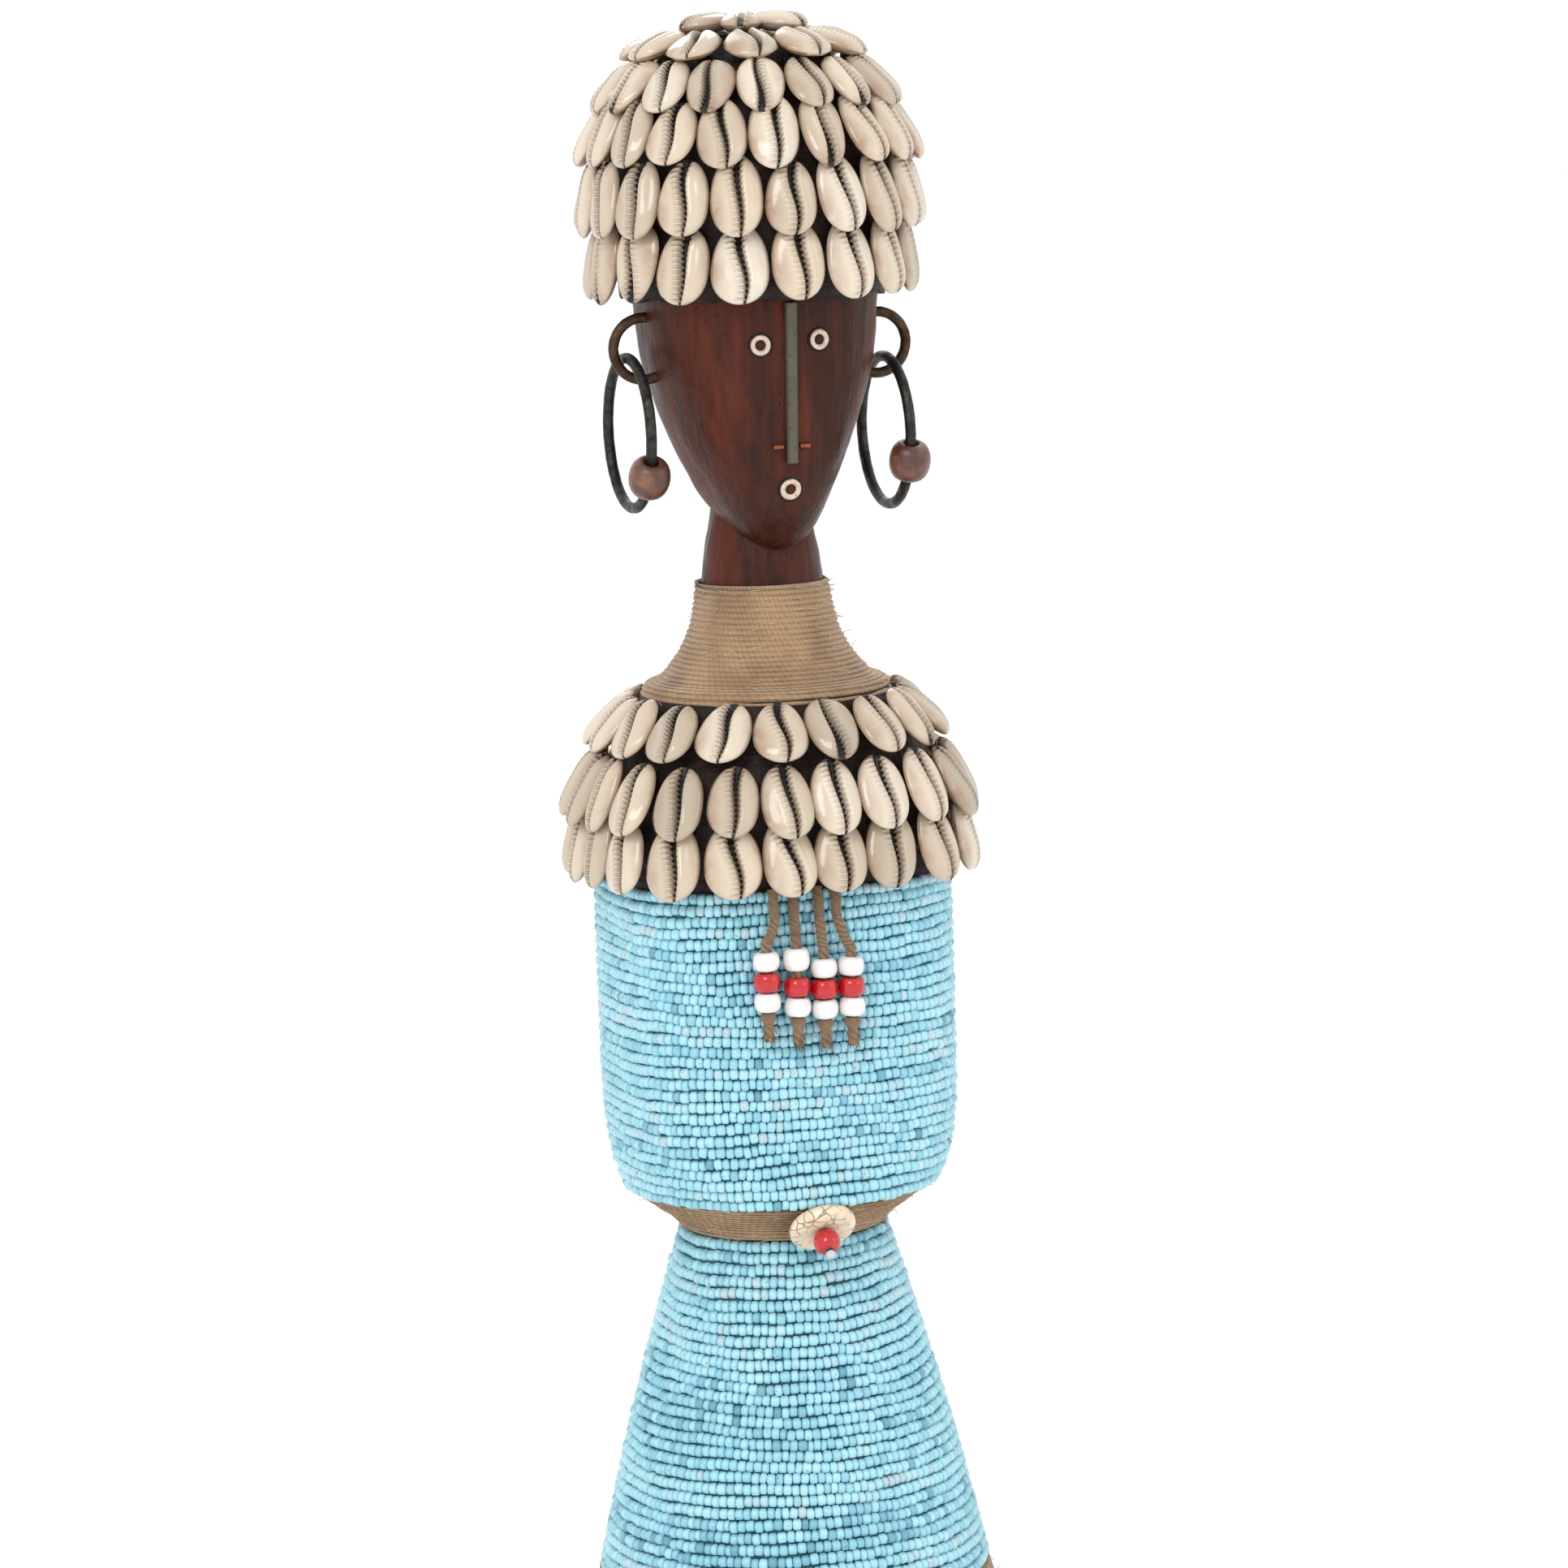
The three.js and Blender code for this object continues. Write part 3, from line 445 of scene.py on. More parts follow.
GROUP_MAKERS = {"noise": stretched_noise_group, "specks": speckle_group, "layers": blend_group}
GROUPS = {}


def group(tree, key, **values):
    if key not in GROUPS:
        GROUPS[key] = GROUP_MAKERS[key]()
    n = tree.nodes.new("ShaderNodeGroup")
    n.node_tree = GROUPS[key]
    for label, value in values.items():
        n.inputs[label.replace("_", " ")].default_value = value
    return n


def tint(rgb, factor=1.0):
    """A linear colour from a display one, given as 0 to 255 or, from a property, as 0 to 1."""
    channels = [c / 255 if max(rgb) > 1 else c for c in rgb]
    linear = [c / 12.92 if c <= 0.04045 else ((c + 0.055) / 1.055) ** 2.4 for c in channels]
    return tuple(min(1.0, c * factor) for c in linear) + (1.0,)


class Finish:
    """One material under construction: its tree, its shader and short ways to join them."""

    def __init__(self, name, roughness=0.5, metallic=0.0, **sockets):
        self.material = bpy.data.materials.new(name)
        self.material.use_nodes = True
        self.tree = self.material.node_tree
        self.shader = self.tree.nodes["Principled BSDF"]
        self.shader.inputs["Roughness"].default_value = roughness
        self.shader.inputs["Metallic"].default_value = metallic
        for label, value in sockets.items():
            self.shader.inputs[label.replace("_", " ")].default_value = value

    def colour(self, base, second=None, mask=None, third=None, third_mask=None):
        n = group(self.tree, "layers", Base=base, Second=second or base, Third=third or base)
        if mask is not None:
            self.tree.links.new(mask, n.inputs["Second mask"])
        if third_mask is not None:
            self.tree.links.new(third_mask, n.inputs["Third mask"])
        self.tree.links.new(n.outputs["Color"], self.shader.inputs["Base Color"])
        return n

    def noise(self, across, along, contrast=1.0, detail=5.0):
        n = group(self.tree, "noise", Across=across, Along=along, Contrast=contrast, Detail=detail)
        return n.outputs["Mask"], n.outputs["Height"]

    def specks(self, scale, cover, softness=0.08):
        return group(self.tree, "specks", Scale=scale, Cover=cover, Softness=softness).outputs["Mask"]

    def bump(self, height, depth, strength=1.0):
        n = self.tree.nodes.new("ShaderNodeBump")
        n.inputs["Distance"].default_value = depth
        n.inputs["Strength"].default_value = strength
        self.tree.links.new(height, n.inputs["Height"])
        self.tree.links.new(n.outputs["Normal"], self.shader.inputs["Normal"])

    def vary_roughness(self, mask, smallest, largest):
        n = self.tree.nodes.new("ShaderNodeMapRange")
        n.inputs["To Min"].default_value = smallest
        n.inputs["To Max"].default_value = largest
        self.tree.links.new(mask, n.inputs["Value"])
        self.tree.links.new(n.outputs[0], self.shader.inputs["Roughness"])

    def attribute(self, name):
        n = self.tree.nodes.new("ShaderNodeAttribute")
        n.attribute_name = name
        return n.outputs["Fac"]

    def ramp(self, value, stops):
        n = self.tree.nodes.new("ShaderNodeValToRGB")
        points = n.color_ramp.elements
        while len(points) < len(stops):
            points.new(0.5)
        for point, (place, colour) in zip(points, stops):
            point.position = place
            point.color = colour
        self.tree.links.new(value, n.inputs["Fac"])
        return n.outputs["Color"]

    def maths(self, operation, a, b=0.0, clamp=False):
        return maths(self.tree, operation, a, b, clamp)


def layered_finish(name, grain, second, specks, depth, base, varied=None, **sockets):
    """A finish from one noise and one kind of speck: grain holds the noise's sizes, second and specks each
    hold a colour and a share, specks then the specks' own sizes."""
    f = Finish(name, **sockets)
    mask, height = f.noise(*grain)
    second_colour, share = second
    speck_colour, speck_share, *speck_sizes = specks
    f.colour(tint(base), tint(second_colour), f.maths("MULTIPLY", mask, share),
             tint(speck_colour), f.maths("MULTIPLY", f.specks(*speck_sizes), speck_share))
    if varied:
        f.vary_roughness(mask, *varied)
    f.bump(height, depth)
    return f.material


def wood_finish(look):
    f = Finish("Carved wood", roughness=0.38, Specular_IOR_Level=0.18)
    grain, height = f.noise(420, 26, 2.2)
    streak, _ = f.noise(75, 9, 3.4, 3.0)
    pits = f.specks(500, 0.34, 0.06)
    f.colour(tint(look.wood), tint(look.wood_red), f.maths("MULTIPLY", streak, 0.85),
             tint((26, 12, 8)), f.maths("MULTIPLY", f.maths("SUBTRACT", 1.0, grain), 0.6))
    f.vary_roughness(streak, 0.28, 0.5)
    f.bump(f.maths("SUBTRACT", height, f.maths("MULTIPLY", pits, 0.4)), 0.0005)
    return f.material


def pitch_finish(look):
    f = Finish("Dark pitch", roughness=0.5, Specular_IOR_Level=0.25)
    lumps, height = f.noise(260, 260, 1.6)
    f.colour(tint(look.pitch), tint((78, 60, 50)), f.maths("MULTIPLY", f.specks(700, 0.38), 0.5),
             tint((16, 11, 10)), lumps)
    f.vary_roughness(lumps, 0.35, 0.75)
    f.bump(height, 0.0012)
    return f.material


def shell_finish(look):
    """Cowrie. In the UV map u runs across, 0.5 at the mouth's middle and 20 mm in all, and v runs up."""
    f = Finish("Cowrie shell", roughness=0.2, Coat_Weight=0.35, Coat_Roughness=0.08)
    uv = node(f.tree, "ShaderNodeUVMap", uv_map="UVMap")
    split = f.tree.nodes.new("ShaderNodeSeparateXYZ")
    f.tree.links.new(uv.outputs[0], split.inputs[0])
    across = f.maths("MULTIPLY", f.maths("SUBTRACT", split.outputs[0], 0.5), 20.0)
    v = split.outputs[1]
    away = f.maths("ABSOLUTE", across)
    left = f.maths("LESS_THAN", across, 0.0)
    reach = f.maths("SUBTRACT", 3.2, f.maths("MULTIPLY", left, 1.9))
    teeth = f.maths("SINE", f.maths("ADD", f.maths("MULTIPLY", v, 88.0), f.maths("MULTIPLY", across, 0.5)))
    opening = f.maths("ADD", 0.22, f.maths("MULTIPLY", f.maths("POWER", v, 1.6), 1.0))
    beyond = f.maths("SUBTRACT", away, opening)
    near_teeth = f.maths("SUBTRACT", 1.0, f.maths("DIVIDE", f.maths("ABSOLUTE", beyond), reach), clamp=True)
    ribs = f.maths("MULTIPLY", near_teeth, teeth)
    jagged = f.maths("ADD", opening, f.maths("MULTIPLY", teeth, 0.2))
    # 1 in the mouth slit, where near-black (26, 15, 12) is laid on as painted shade in the recess
    inside = f.maths("ADD", f.maths("DIVIDE", f.maths("SUBTRACT", jagged, away), 0.35), 0.5, clamp=True)
    tone = f.attribute("tone")
    stain, height = f.noise(160, 160, 2.4, 4.0)
    # Painted shade, in brown, in the grooves between the teeth
    groove_shade = f.maths("MULTIPLY", ribs, -0.42, clamp=True)
    top = f.maths("MULTIPLY", f.maths("SUBTRACT", v, 0.72), 2.6, clamp=True)
    # The brown mask holds the painted shade in the tooth grooves and at the sides, and real stain near the upper
    # end
    stain_and_shade = f.maths("ADD", groove_shade, f.maths("MULTIPLY", f.maths("MULTIPLY", top, stain), 0.9), clamp=True)
    base = f.ramp(tone, [(0.0, tint(look.shell, 0.7)), (0.3, tint(look.shell, 0.86)),
                         (0.65, tint(look.shell)), (1.0, tint((214, 202, 184)))])
    # Darker brown towards the shell's sides, broken up by the stain noise: painted shade where the sides turn
    # away, partly stain
    edge = f.maths("MULTIPLY", f.maths("SUBTRACT", away, 3.6), 0.13, clamp=True)
    stain_and_shade = f.maths("MAXIMUM", stain_and_shade, f.maths("MULTIPLY", edge, f.maths("ADD", stain, 0.35)))
    # The brown second colour is stain near the top plus painted shade in the tooth gaps and at the sides; the
    # near-black third colour is painted shade in the slit
    n = f.colour(tint(look.shell), tint((140, 98, 70)), stain_and_shade, tint((26, 15, 12)), inside)
    f.tree.links.new(base, n.inputs["Base"])
    # The slit that holds the painted shade is made rougher
    slit_roughness = f.maths("ADD", f.maths("MULTIPLY", inside, 0.6), 0.16)
    f.tree.links.new(slit_roughness, f.shader.inputs["Roughness"])
    f.bump(f.maths("ADD", f.maths("MULTIPLY", ribs, 0.8), f.maths("MULTIPLY", height, 0.12)), 0.0006)
    return f.material


def twine_finish(name, base, soiled, turns, rise, groove_shade=0.0):
    """Twine: the UV map's u goes round and v goes along; turns and rise set the slant of its plies, and the last
    argument the painted shade between them.
    """
    f = Finish(name, roughness=0.9, Sheen_Weight=0.3, Sheen_Roughness=0.5, Specular_IOR_Level=0.2)
    fibre, height = f.noise(800, 1600, 1.8)
    split = f.tree.nodes.new("ShaderNodeSeparateXYZ")
    f.tree.links.new(node(f.tree, "ShaderNodeUVMap", uv_map="UVMap").outputs[0], split.inputs[0])
    slant = f.maths("ADD", f.maths("MULTIPLY", split.outputs[0], turns),
                    f.maths("MULTIPLY", split.outputs[1], rise))
    ply = f.maths("ABSOLUTE", f.maths("COSINE", slant))
    # Darker with the fibre noise, which is the twine's own tone, and in the valleys between the plies, which is
    # painted shade; the last argument sets how much
    dark = f.maths("ADD", f.maths("MULTIPLY", f.maths("SUBTRACT", 1.0, fibre), 0.55),
                   f.maths("MULTIPLY", f.maths("SUBTRACT", 1.0, ply), groove_shade), clamp=True)
    f.colour(tint(base), tint(base, 0.42), dark,
             tint(soiled), f.maths("MULTIPLY", f.specks(60, 0.5, 0.25), 0.6))
    f.bump(f.maths("ADD", f.maths("MULTIPLY", ply, 0.8), height), 0.00022)
    return f.material


def seed_finish(look):
    f = Finish("Blue seed beads", roughness=0.22, Coat_Weight=0.3, Coat_Roughness=0.1)
    tone = f.attribute("tone")
    patches, height = f.noise(38, 38, 2.2, 2.0)
    base = f.ramp(tone, [(0.0, tint((92, 146, 164))), (0.16, tint((132, 190, 206))), (0.5, tint(look.seed)),
                         (0.8, tint((176, 220, 230))), (1.0, tint((184, 202, 208)))])
    n = f.colour(tint(look.seed), tint((126, 188, 206)), f.maths("MULTIPLY", patches, 0.4),
                 tint((60, 70, 68)), f.maths("MULTIPLY", f.specks(900, 0.33), 0.5))
    f.tree.links.new(base, n.inputs["Base"])
    f.bump(height, 0.0001)
    return f.material


def metal_finish(name, base, dark, roughness=0.45, metallic=0.85, scale=350):
    return layered_finish(name, (scale, scale, 2.2), (dark, 1.0), ((30, 26, 22), 0.5, 800, 0.36), 0.0003, base,
                          (roughness - 0.12, roughness + 0.2), roughness=roughness, metallic=metallic)


def glass_finish(name, base, dark, roughness=0.1):
    return layered_finish(name, (240, 240, 1.8, 3.0), (dark, 0.35), ((110, 90, 80), 0.2, 600, 0.3), 0.00015, base,
                          roughness=roughness, Coat_Weight=0.5, Coat_Roughness=0.05)


def disc_finish(look):
    f = Finish("Worn shell disc", roughness=0.4, Coat_Weight=0.15)
    cell = node(f.tree, "ShaderNodeTexVoronoi", feature="DISTANCE_TO_EDGE", Scale=330.0)
    coords = f.tree.nodes.new("ShaderNodeTexCoord")
    f.tree.links.new(coords.outputs["Object"], cell.inputs["Vector"])
    crack = f.maths("SUBTRACT", 1.0, f.maths("MULTIPLY", cell.outputs["Distance"], 22.0), clamp=True)
    patch = f.specks(140, 0.5, 0.12)
    crack = f.maths("MULTIPLY", crack, patch)
    stain, height = f.noise(220, 220, 2.2)
    f.colour(tint(look.disc), tint((206, 178, 140)), f.maths("MULTIPLY", stain, 0.7), tint((112, 72, 48)),
             f.maths("MULTIPLY", crack, 0.7))
    f.bump(f.maths("SUBTRACT", height, crack), 0.0004)
    return f.material


def floor_finish():
    f = Finish("Plain pale floor", roughness=0.8)
    _, height = f.noise(40, 40, 1.0)
    f.colour((0.95, 0.95, 0.95, 1))
    f.bump(height, 0.0001)
    return f.material


FINISHES = {}


def finish(key):
    """The named finish, made the first time that a piece asks for it."""
    look = bpy.context.scene.doll_look
    makers = {
        "wood": lambda: wood_finish(look),
        "pitch": lambda: pitch_finish(look),
        "shell": lambda: shell_finish(look),
        # The last number given to the twine and cord finishes is the strength of the painted shade between their
        # plies
        "twine": lambda: twine_finish("Jute twine", look.twine, look.twine_dark, 300.0, 30.0, 0.25),
        "fibre": lambda: twine_finish("Loose fibre", (214, 190, 156), look.twine, 0.0, 0.0),
        "cord": lambda: twine_finish("Tassel cord", look.cord, look.twine_dark, CORD_STRANDS * math.pi,
                                     CORD_STRANDS * CORD_TWISTS * math.pi, 0.8),
        "seed_beads": lambda: seed_finish(look),
        # The bed under the bead rows: its dark blue colour is painted shade showing between the rows
        "thread": lambda: layered_finish("Bead thread and gap shade", (600, 1800, 2.0), ((10, 30, 38), 1.0),
                                         ((60, 90, 96), 0.6, 420, 0.36), 0.0004, look.thread, roughness=0.85),
        "dark_wire": lambda: metal_finish("Dark hoop wire", look.hoop_wire, (30, 27, 25)),
        "bronze_wire": lambda: metal_finish("Brown ear wire", look.ear_wire, (44, 32, 24), 0.5, 0.7),
        "nose_metal": lambda: metal_finish("Dull brass", look.nose, (84, 82, 68), 0.5, 0.6, 120),
        "copper": lambda: metal_finish("Copper wire", (176, 104, 70), (104, 56, 38), 0.4, 0.9),
        "bone": lambda: layered_finish("Bone", (700, 700, 2.0), ((150, 118, 90), 0.6),
                                       ((96, 66, 48), 0.7, 900, 0.36), 0.0003, look.bone,
                                       roughness=0.45, Coat_Weight=0.1),
        "turned_wood": lambda: layered_finish("Turned wood bead", (500, 60, 2.2), ((66, 38, 28), 1.0),
                                              ((150, 105, 80), 0.5, 160, 0.42, 0.2), 0.0003, look.hoop_bead,
                                              roughness=0.4, Coat_Weight=0.25, Coat_Roughness=0.2),
        "red_glass": lambda: glass_finish("Red glass", look.red, (120, 10, 18)),
        "white_glass": lambda: glass_finish("White glass", look.white, (214, 206, 196)),
        "clear_glass": lambda: glass_finish("Pale glass", (196, 204, 206), (150, 160, 166), 0.08),
        "stone": lambda: disc_finish(look),
        "floor": floor_finish,
    }
    if key not in FINISHES:
        FINISHES[key] = makers[key]()
    return FINISHES[key]


# ---- Sizes and colours that a user may change ----

def colour_property(label, rgb):
    return FloatVectorProperty(name=label, description=label + " colour", subtype="COLOR_GAMMA", size=3,
                               min=0.0, max=1.0, default=tuple(c / 255 for c in rgb))


class DollLook(bpy.types.PropertyGroup):
    wood: colour_property("Wood", (54, 26, 16))
    wood_red: colour_property("Wood streaks", (100, 43, 24))
    pitch: colour_property("Pitch", (44, 27, 20))
    shell: colour_property("Cowries", (204, 188, 165))
    twine: colour_property("Twine", (186, 154, 118))
    twine_dark: colour_property("Soiled twine", (122, 94, 68))
    cord: colour_property("Tassel cord", (160, 128, 96))
    seed: colour_property("Seed beads", (164, 216, 228))
    # Colour of the bed under the bead rows, which is painted shade between the rows
    thread: colour_property("Bead thread and gap shade", (86, 142, 154))
    red: colour_property("Red beads", (196, 8, 20))
    white: colour_property("White beads", (228, 226, 226))
    bone: colour_property("Bone rings", (222, 208, 190))
    nose: colour_property("Nose rod", (96, 92, 78))
    ear_wire: colour_property("Ear wire", (88, 68, 50))
    hoop_wire: colour_property("Hoop wire", (72, 70, 66))
    hoop_bead: colour_property("Hoop beads", (92, 50, 36))
    disc: colour_property("Navel disc", (236, 221, 196))


class DollSizes(bpy.types.PropertyGroup):
    seed_width: FloatProperty(name="Seed bead width", description="Across a seed bead", default=0.0033,
                              unit="LENGTH", subtype="DISTANCE")
    seed_length: FloatProperty(name="Seed bead length", description="Along the thread", default=0.00228,
                               unit="LENGTH", subtype="DISTANCE")
    torso_pitch: FloatProperty(name="Torso row pitch", description="Between rows of torso beads",
                               default=0.00312, unit="LENGTH", subtype="DISTANCE")
    skirt_pitch: FloatProperty(name="Skirt row pitch", description="Between rows of skirt beads",
                               default=0.00318, unit="LENGTH", subtype="DISTANCE")
    twine_pitch: FloatProperty(name="Twine pitch", description="Between turns of a twine wrap",
                               default=0.0016, unit="LENGTH", subtype="DISTANCE")
    cowrie_thickness: FloatProperty(name="Cowrie thickness", description="From back to mouth",
                                    default=0.0056, unit="LENGTH", subtype="DISTANCE")
    disorder: FloatProperty(name="Disorder", description="How unevenly the shells and beads sit",
                            default=1.0, min=0.0, max=2.0)
    seed: IntProperty(name="Seed", description="Which uneven arrangement is made", default=7, min=0)


# ---- Stage ----

class MakeStage(bpy.types.Operator):
    """Sets the camera, the soft lights and the pale floor"""
    bl_idname = "doll.make_stage"
    bl_label = "Stage"
    bl_options = {"REGISTER", "UNDO"}

    def execute(self, context):
        scene = context.scene
        side, rise, roll = math.radians(-18), math.radians(8.2), math.radians(1.9)
        right = Vector((math.cos(side), math.sin(side), 0))
        back = Vector((math.sin(side) * math.cos(rise), -math.cos(side) * math.cos(rise), math.sin(rise)))
        up = back.cross(right).normalized()
        place = Vector((0, 0, 0.2535)) + right * 0.0043 + back * 1.5458
        x = right * math.cos(roll) - up * math.sin(roll)
        y = up * math.cos(roll) + right * math.sin(roll)
        lens = bpy.data.cameras.new("Camera")
        lens.lens, lens.sensor_width = 125.4, 36.0
        camera = bpy.data.objects.new("Camera", lens)
        camera.matrix_world = based(x, y, back, place)
        scene.collection.objects.link(camera)
        scene.camera = camera
        bm = bmesh.new()
        bmesh.ops.create_circle(bm, cap_ends=True, segments=96, radius=12.0)
        floor = mesh_of(bm, "Floor")
        floor.materials.append(finish("floor"))
        ground = bpy.data.objects.new("Floor", floor)
        scene.collection.objects.link(ground)
        for name, spot, width, watts in (
                ("Key light", (-1.1, -1.5, 1.5), 1.1, 15), ("Fill light", (1.5, -1.3, 0.9), 1.4, 4),
                ("Back light", (0.3, 1.7, 1.5), 1.4, 8)):
            lamp = bpy.data.lights.new(name, "AREA")
            lamp.shape, lamp.size, lamp.energy = "DISK", width, watts
            light = bpy.data.objects.new(name, lamp)
            light.matrix_world = aimed(Vector(spot), Vector(spot) - Vector((0, 0, 0.24)))
            scene.collection.objects.link(light)
        world = bpy.data.worlds.new("Studio")
        world.use_nodes = True
        world.node_tree.nodes["Background"].inputs["Color"].default_value = (1, 1, 1, 1)
        world.node_tree.nodes["Background"].inputs["Strength"].default_value = 1.06
        scene.world = world
        scene.view_settings.view_transform = "Standard"
        return {"FINISHED"}


# ---- Tassels ----

TASSEL_TOPS = (-14.3 * MM, -8.6 * MM, -1.3 * MM, 3.8 * MM)
BEAD_TILT = 0.03


def curve_through(stops, per_span=8):
    """A smooth line through the stops."""
    ends = [stops[0] * 2 - stops[1], *stops, stops[-1] * 2 - stops[-2]]
    line = []
    for i in range(1, len(ends) - 2):
        a, b, c, d = ends[i - 1:i + 3]
        for k in range(per_span):
            t = k / per_span
            line.append(0.5 * ((2 * b) + (c - a) * t + (2 * a - 5 * b + 4 * c - d) * t * t
                               + (3 * b - a - 3 * c + d) * t ** 3))
    return line + [stops[-1]]


def path_length(points):
    return sum((b - a).length for a, b in zip(points, points[1:]))


def cord_route(index):
    """From the cord's hanging point, through its beads and its knot, to the end of its stub."""
    name = f"tassel_{index + 1}"
    knot_low, knot_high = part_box(name + "_knot")
    x, y, knot = (knot_low.x + knot_high.x) / 2, (knot_low.y + knot_high.y) / 2, knot_high.z
    stack_top = high(name + "_white_top_bead").z
    against = body_point(wood_radius(TORSO_TOP - 20 * MM) + GAP + BEADING, 0, TORSO_TOP - 20 * MM).y
    against -= CORD / 2 + GAP
    top = Vector((TASSEL_TOPS[index], against, TORSO_TOP - 4.5 * MM))
    stops = [top, Vector(((top.x + x) / 2, (against + y) / 2, (top.z + stack_top) / 2)),
             *(Vector((x, y, z)) for z in (stack_top + 2.2 * MM, stack_top + 0.8 * MM, knot, knot_low.z))]
    return curve_through(stops), Vector((x, y, knot))


def drilled(width, height, bore, roundness):
    """A drilled, rounded bead about Z."""
    flat = bore + (width / 2 - bore) * 0.12
    points = [(bore, -height / 2), (flat, -height / 2)]
    for k in range(1, 12):
        angle = math.pi * (k / 12 - 0.5)
        reach = abs(math.cos(angle)) ** (0.75 * roundness)
        points.append((flat + (width / 2 - flat) * reach, height / 2 * math.sin(angle)))
    points += [(flat, height / 2), (bore, height / 2), (bore, -height / 2)]
    return spun(points, 40)


class MakeTassels(bpy.types.Operator):
    """Hangs the four knotted cords with their white and red beads on the chest"""
    bl_idname = "doll.make_tassels"
    bl_label = "Tassels"
    bl_options = {"REGISTER", "UNDO"}

    def execute(self, context):
        sizes = context.scene.doll_sizes
        rng = np.random.default_rng(sizes.seed)
        for index in range(4):
            name = f"tassel_{index + 1}"
            route, knot = cord_route(index)
            for kind in ("white_low", "red", "white_top"):
                body = f"{name}_{kind}"
                a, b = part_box(body + "_bead")
                place = Matrix.Translation((a + b) / 2)
                for axis in "XY":
                    place = place @ Matrix.Rotation(rng.normal(0, BEAD_TILT), 4, axis)
                bm = moved(drilled(b.y - a.y, b.z - a.z, CORD / 2 + GAP, 1.0), place)
                glass = kind.split("_")[0] + "_glass"
                piece(body + "_glass_bead", bm, body, glass, body + "_bead")
            self.knot(name, knot, low(name + "_knot").z, rng)
            bm = tube(route, CORD / 2, 24, 96, CORD_STRANDS, CORD_TWISTS)
            cord = piece(f"{name}_laid_cord", bm, name, "twine", f"{name}_cord", "cord")
            tuple(route[0])
            path_length(route)
            [tuple(p) for p in route]
            self.stub(index, route[0])
        return {"FINISHED"}

    def knot(self, name, at, end, rng):
        """A wrapped knot with a frayed end of loose fibres."""
        def place(u, v):
            z = at.z - v * (at.z - end)
            angle = 2 * math.pi * u
            round_out = Vector((math.cos(angle), math.sin(angle), 0))
            wrap = 0.8 + 0.2 * abs(math.sin(3 * angle + 9 * v))
            swell = 1.35 + 0.95 * math.exp(-((v - 0.16) / 0.16) ** 2) * wrap
            swell *= 1 - 0.25 * smooth(0.8, 1.0, v) if v < 0.999 else 0.6
            swell += 0.12 * noise.noise(round_out * 2 + Vector((0, 0, v * 9 + at.x * 900)))
            return Vector((at.x, at.y, z)) + round_out * swell * MM
        knot = piece(name + "_frayed_knot", swept(place, 28, 30), name, "twine", name + "_knot", "cord")
        places = []
        for _ in range(KNOT_FIBRES):
            turn = rng.uniform(0, 2 * math.pi)
            start = Vector((at.x + 1.2 * MM * math.cos(turn), at.y + 1.2 * MM * math.sin(turn),
                            at.z - rng.uniform(0.3, 0.95) * (at.z - end)))
            lean = Vector((math.cos(turn) * rng.uniform(0, 0.5),
                           min(0.15, math.sin(turn) * rng.uniform(0, 0.5)), -1))
            places.append(aimed(start, lean) @ Matrix.Diagonal((1, 1, rng.uniform(0.4, 1.0), 1)))
        mesh = stamped([fibre_mesh(3.4 * MM, 0.16 * MM)], places, seed=name_seed(name))
        settle(name + "_loose_fibres", mesh, name, "twine", look="cord")
        return knot

    def stub(self, index, top):
        """The still length of cord between the collar's shells and the hanging point."""
        route = [top + Vector((0, y, z)) * MM for y, z in ((1.2, 8.5), (0.4, 4), (0, 0.1))]
        bm = tube(curve_through(route), CORD / 2, 24, 24, CORD_STRANDS, 1.2)
        piece(f"tassel_{index + 1}_tied_end", bm, "doll", "twine", look="cord")


def name_seed(name):
    return sum(ord(c) for c in name)


def fibre_mesh(length, thickness):
    """One loose fibre along Z that bends as it goes."""
    route = [Vector((0.08 * length * (k / 5) ** 2, 0, length * k / 5)) for k in range(6)]
    bm = tube(route, thickness / 2, 4, 5)
    bmesh.ops.recalc_face_normals(bm, faces=bm.faces)
    return mesh_of(bm, "Fibre")


# ---- Carved wood and pitch ----

def rough(point, size, depth):
    """A small push in or out that varies over that many metres."""
    return depth * noise.noise(point / size)


class MakeWood(bpy.types.Operator):
    """Carves the solid body with its foot and neck, and the head with its flat face"""
    bl_idname = "doll.make_wood"
    bl_label = "Carved wood"
    bl_options = {"REGISTER", "UNDO"}

    def execute(self, context):
        levels = [(r * MM, z * MM) for r, z in FOOT]
        spans = ((3.3 * MM, 27 * MM, 6), (HEM_TOP + 0.4 * MM, SKIRT_TOP - 0.4 * MM, 16),
                 (SKIRT_TOP, SHOULDER, 40), (286 * MM, NECK_END, 40))
        heights = np.concatenate([np.linspace(*span) for span in spans])
        levels += [(wood_radius(float(z)), float(z)) for z in heights] + [(0.0, NECK_END + 1 * MM)]

        def place(u, v):
            r, z = levels[round(v * (len(levels) - 1))]
            p = body_point(r, 2 * math.pi * u, z)
            if z > WRAP_TOP:
                out = outward_of(p)
                p += out * rough(p, 4 * MM, 0.22 * MM)
            return p
        piece("carved_body", swept(place, 112, len(levels) - 1), "doll", "wood", "carved_core")
        bottom, top = CHIN - 0.6 * MM, HEAD_TOP

        def head(u, v):
            z = bottom + (top - bottom) * (1 - math.cos(math.pi * v)) / 2
            if v in (0.0, 1.0):
                return Vector((0, -15.75 * MM if v == 0 else 0, z))
            p = head_point(2 * math.pi * u, min(max(z, CHIN), top - 0.01 * MM))
            p.z = z
            out = outward_of(p)
            return p + out * (rough(p, 7 * MM, 0.28 * MM) + rough(p, 2.2 * MM, 0.1 * MM))
        piece("carved_head", swept(head, 160, 130), "doll", "wood")
        return {"FINISHED"}


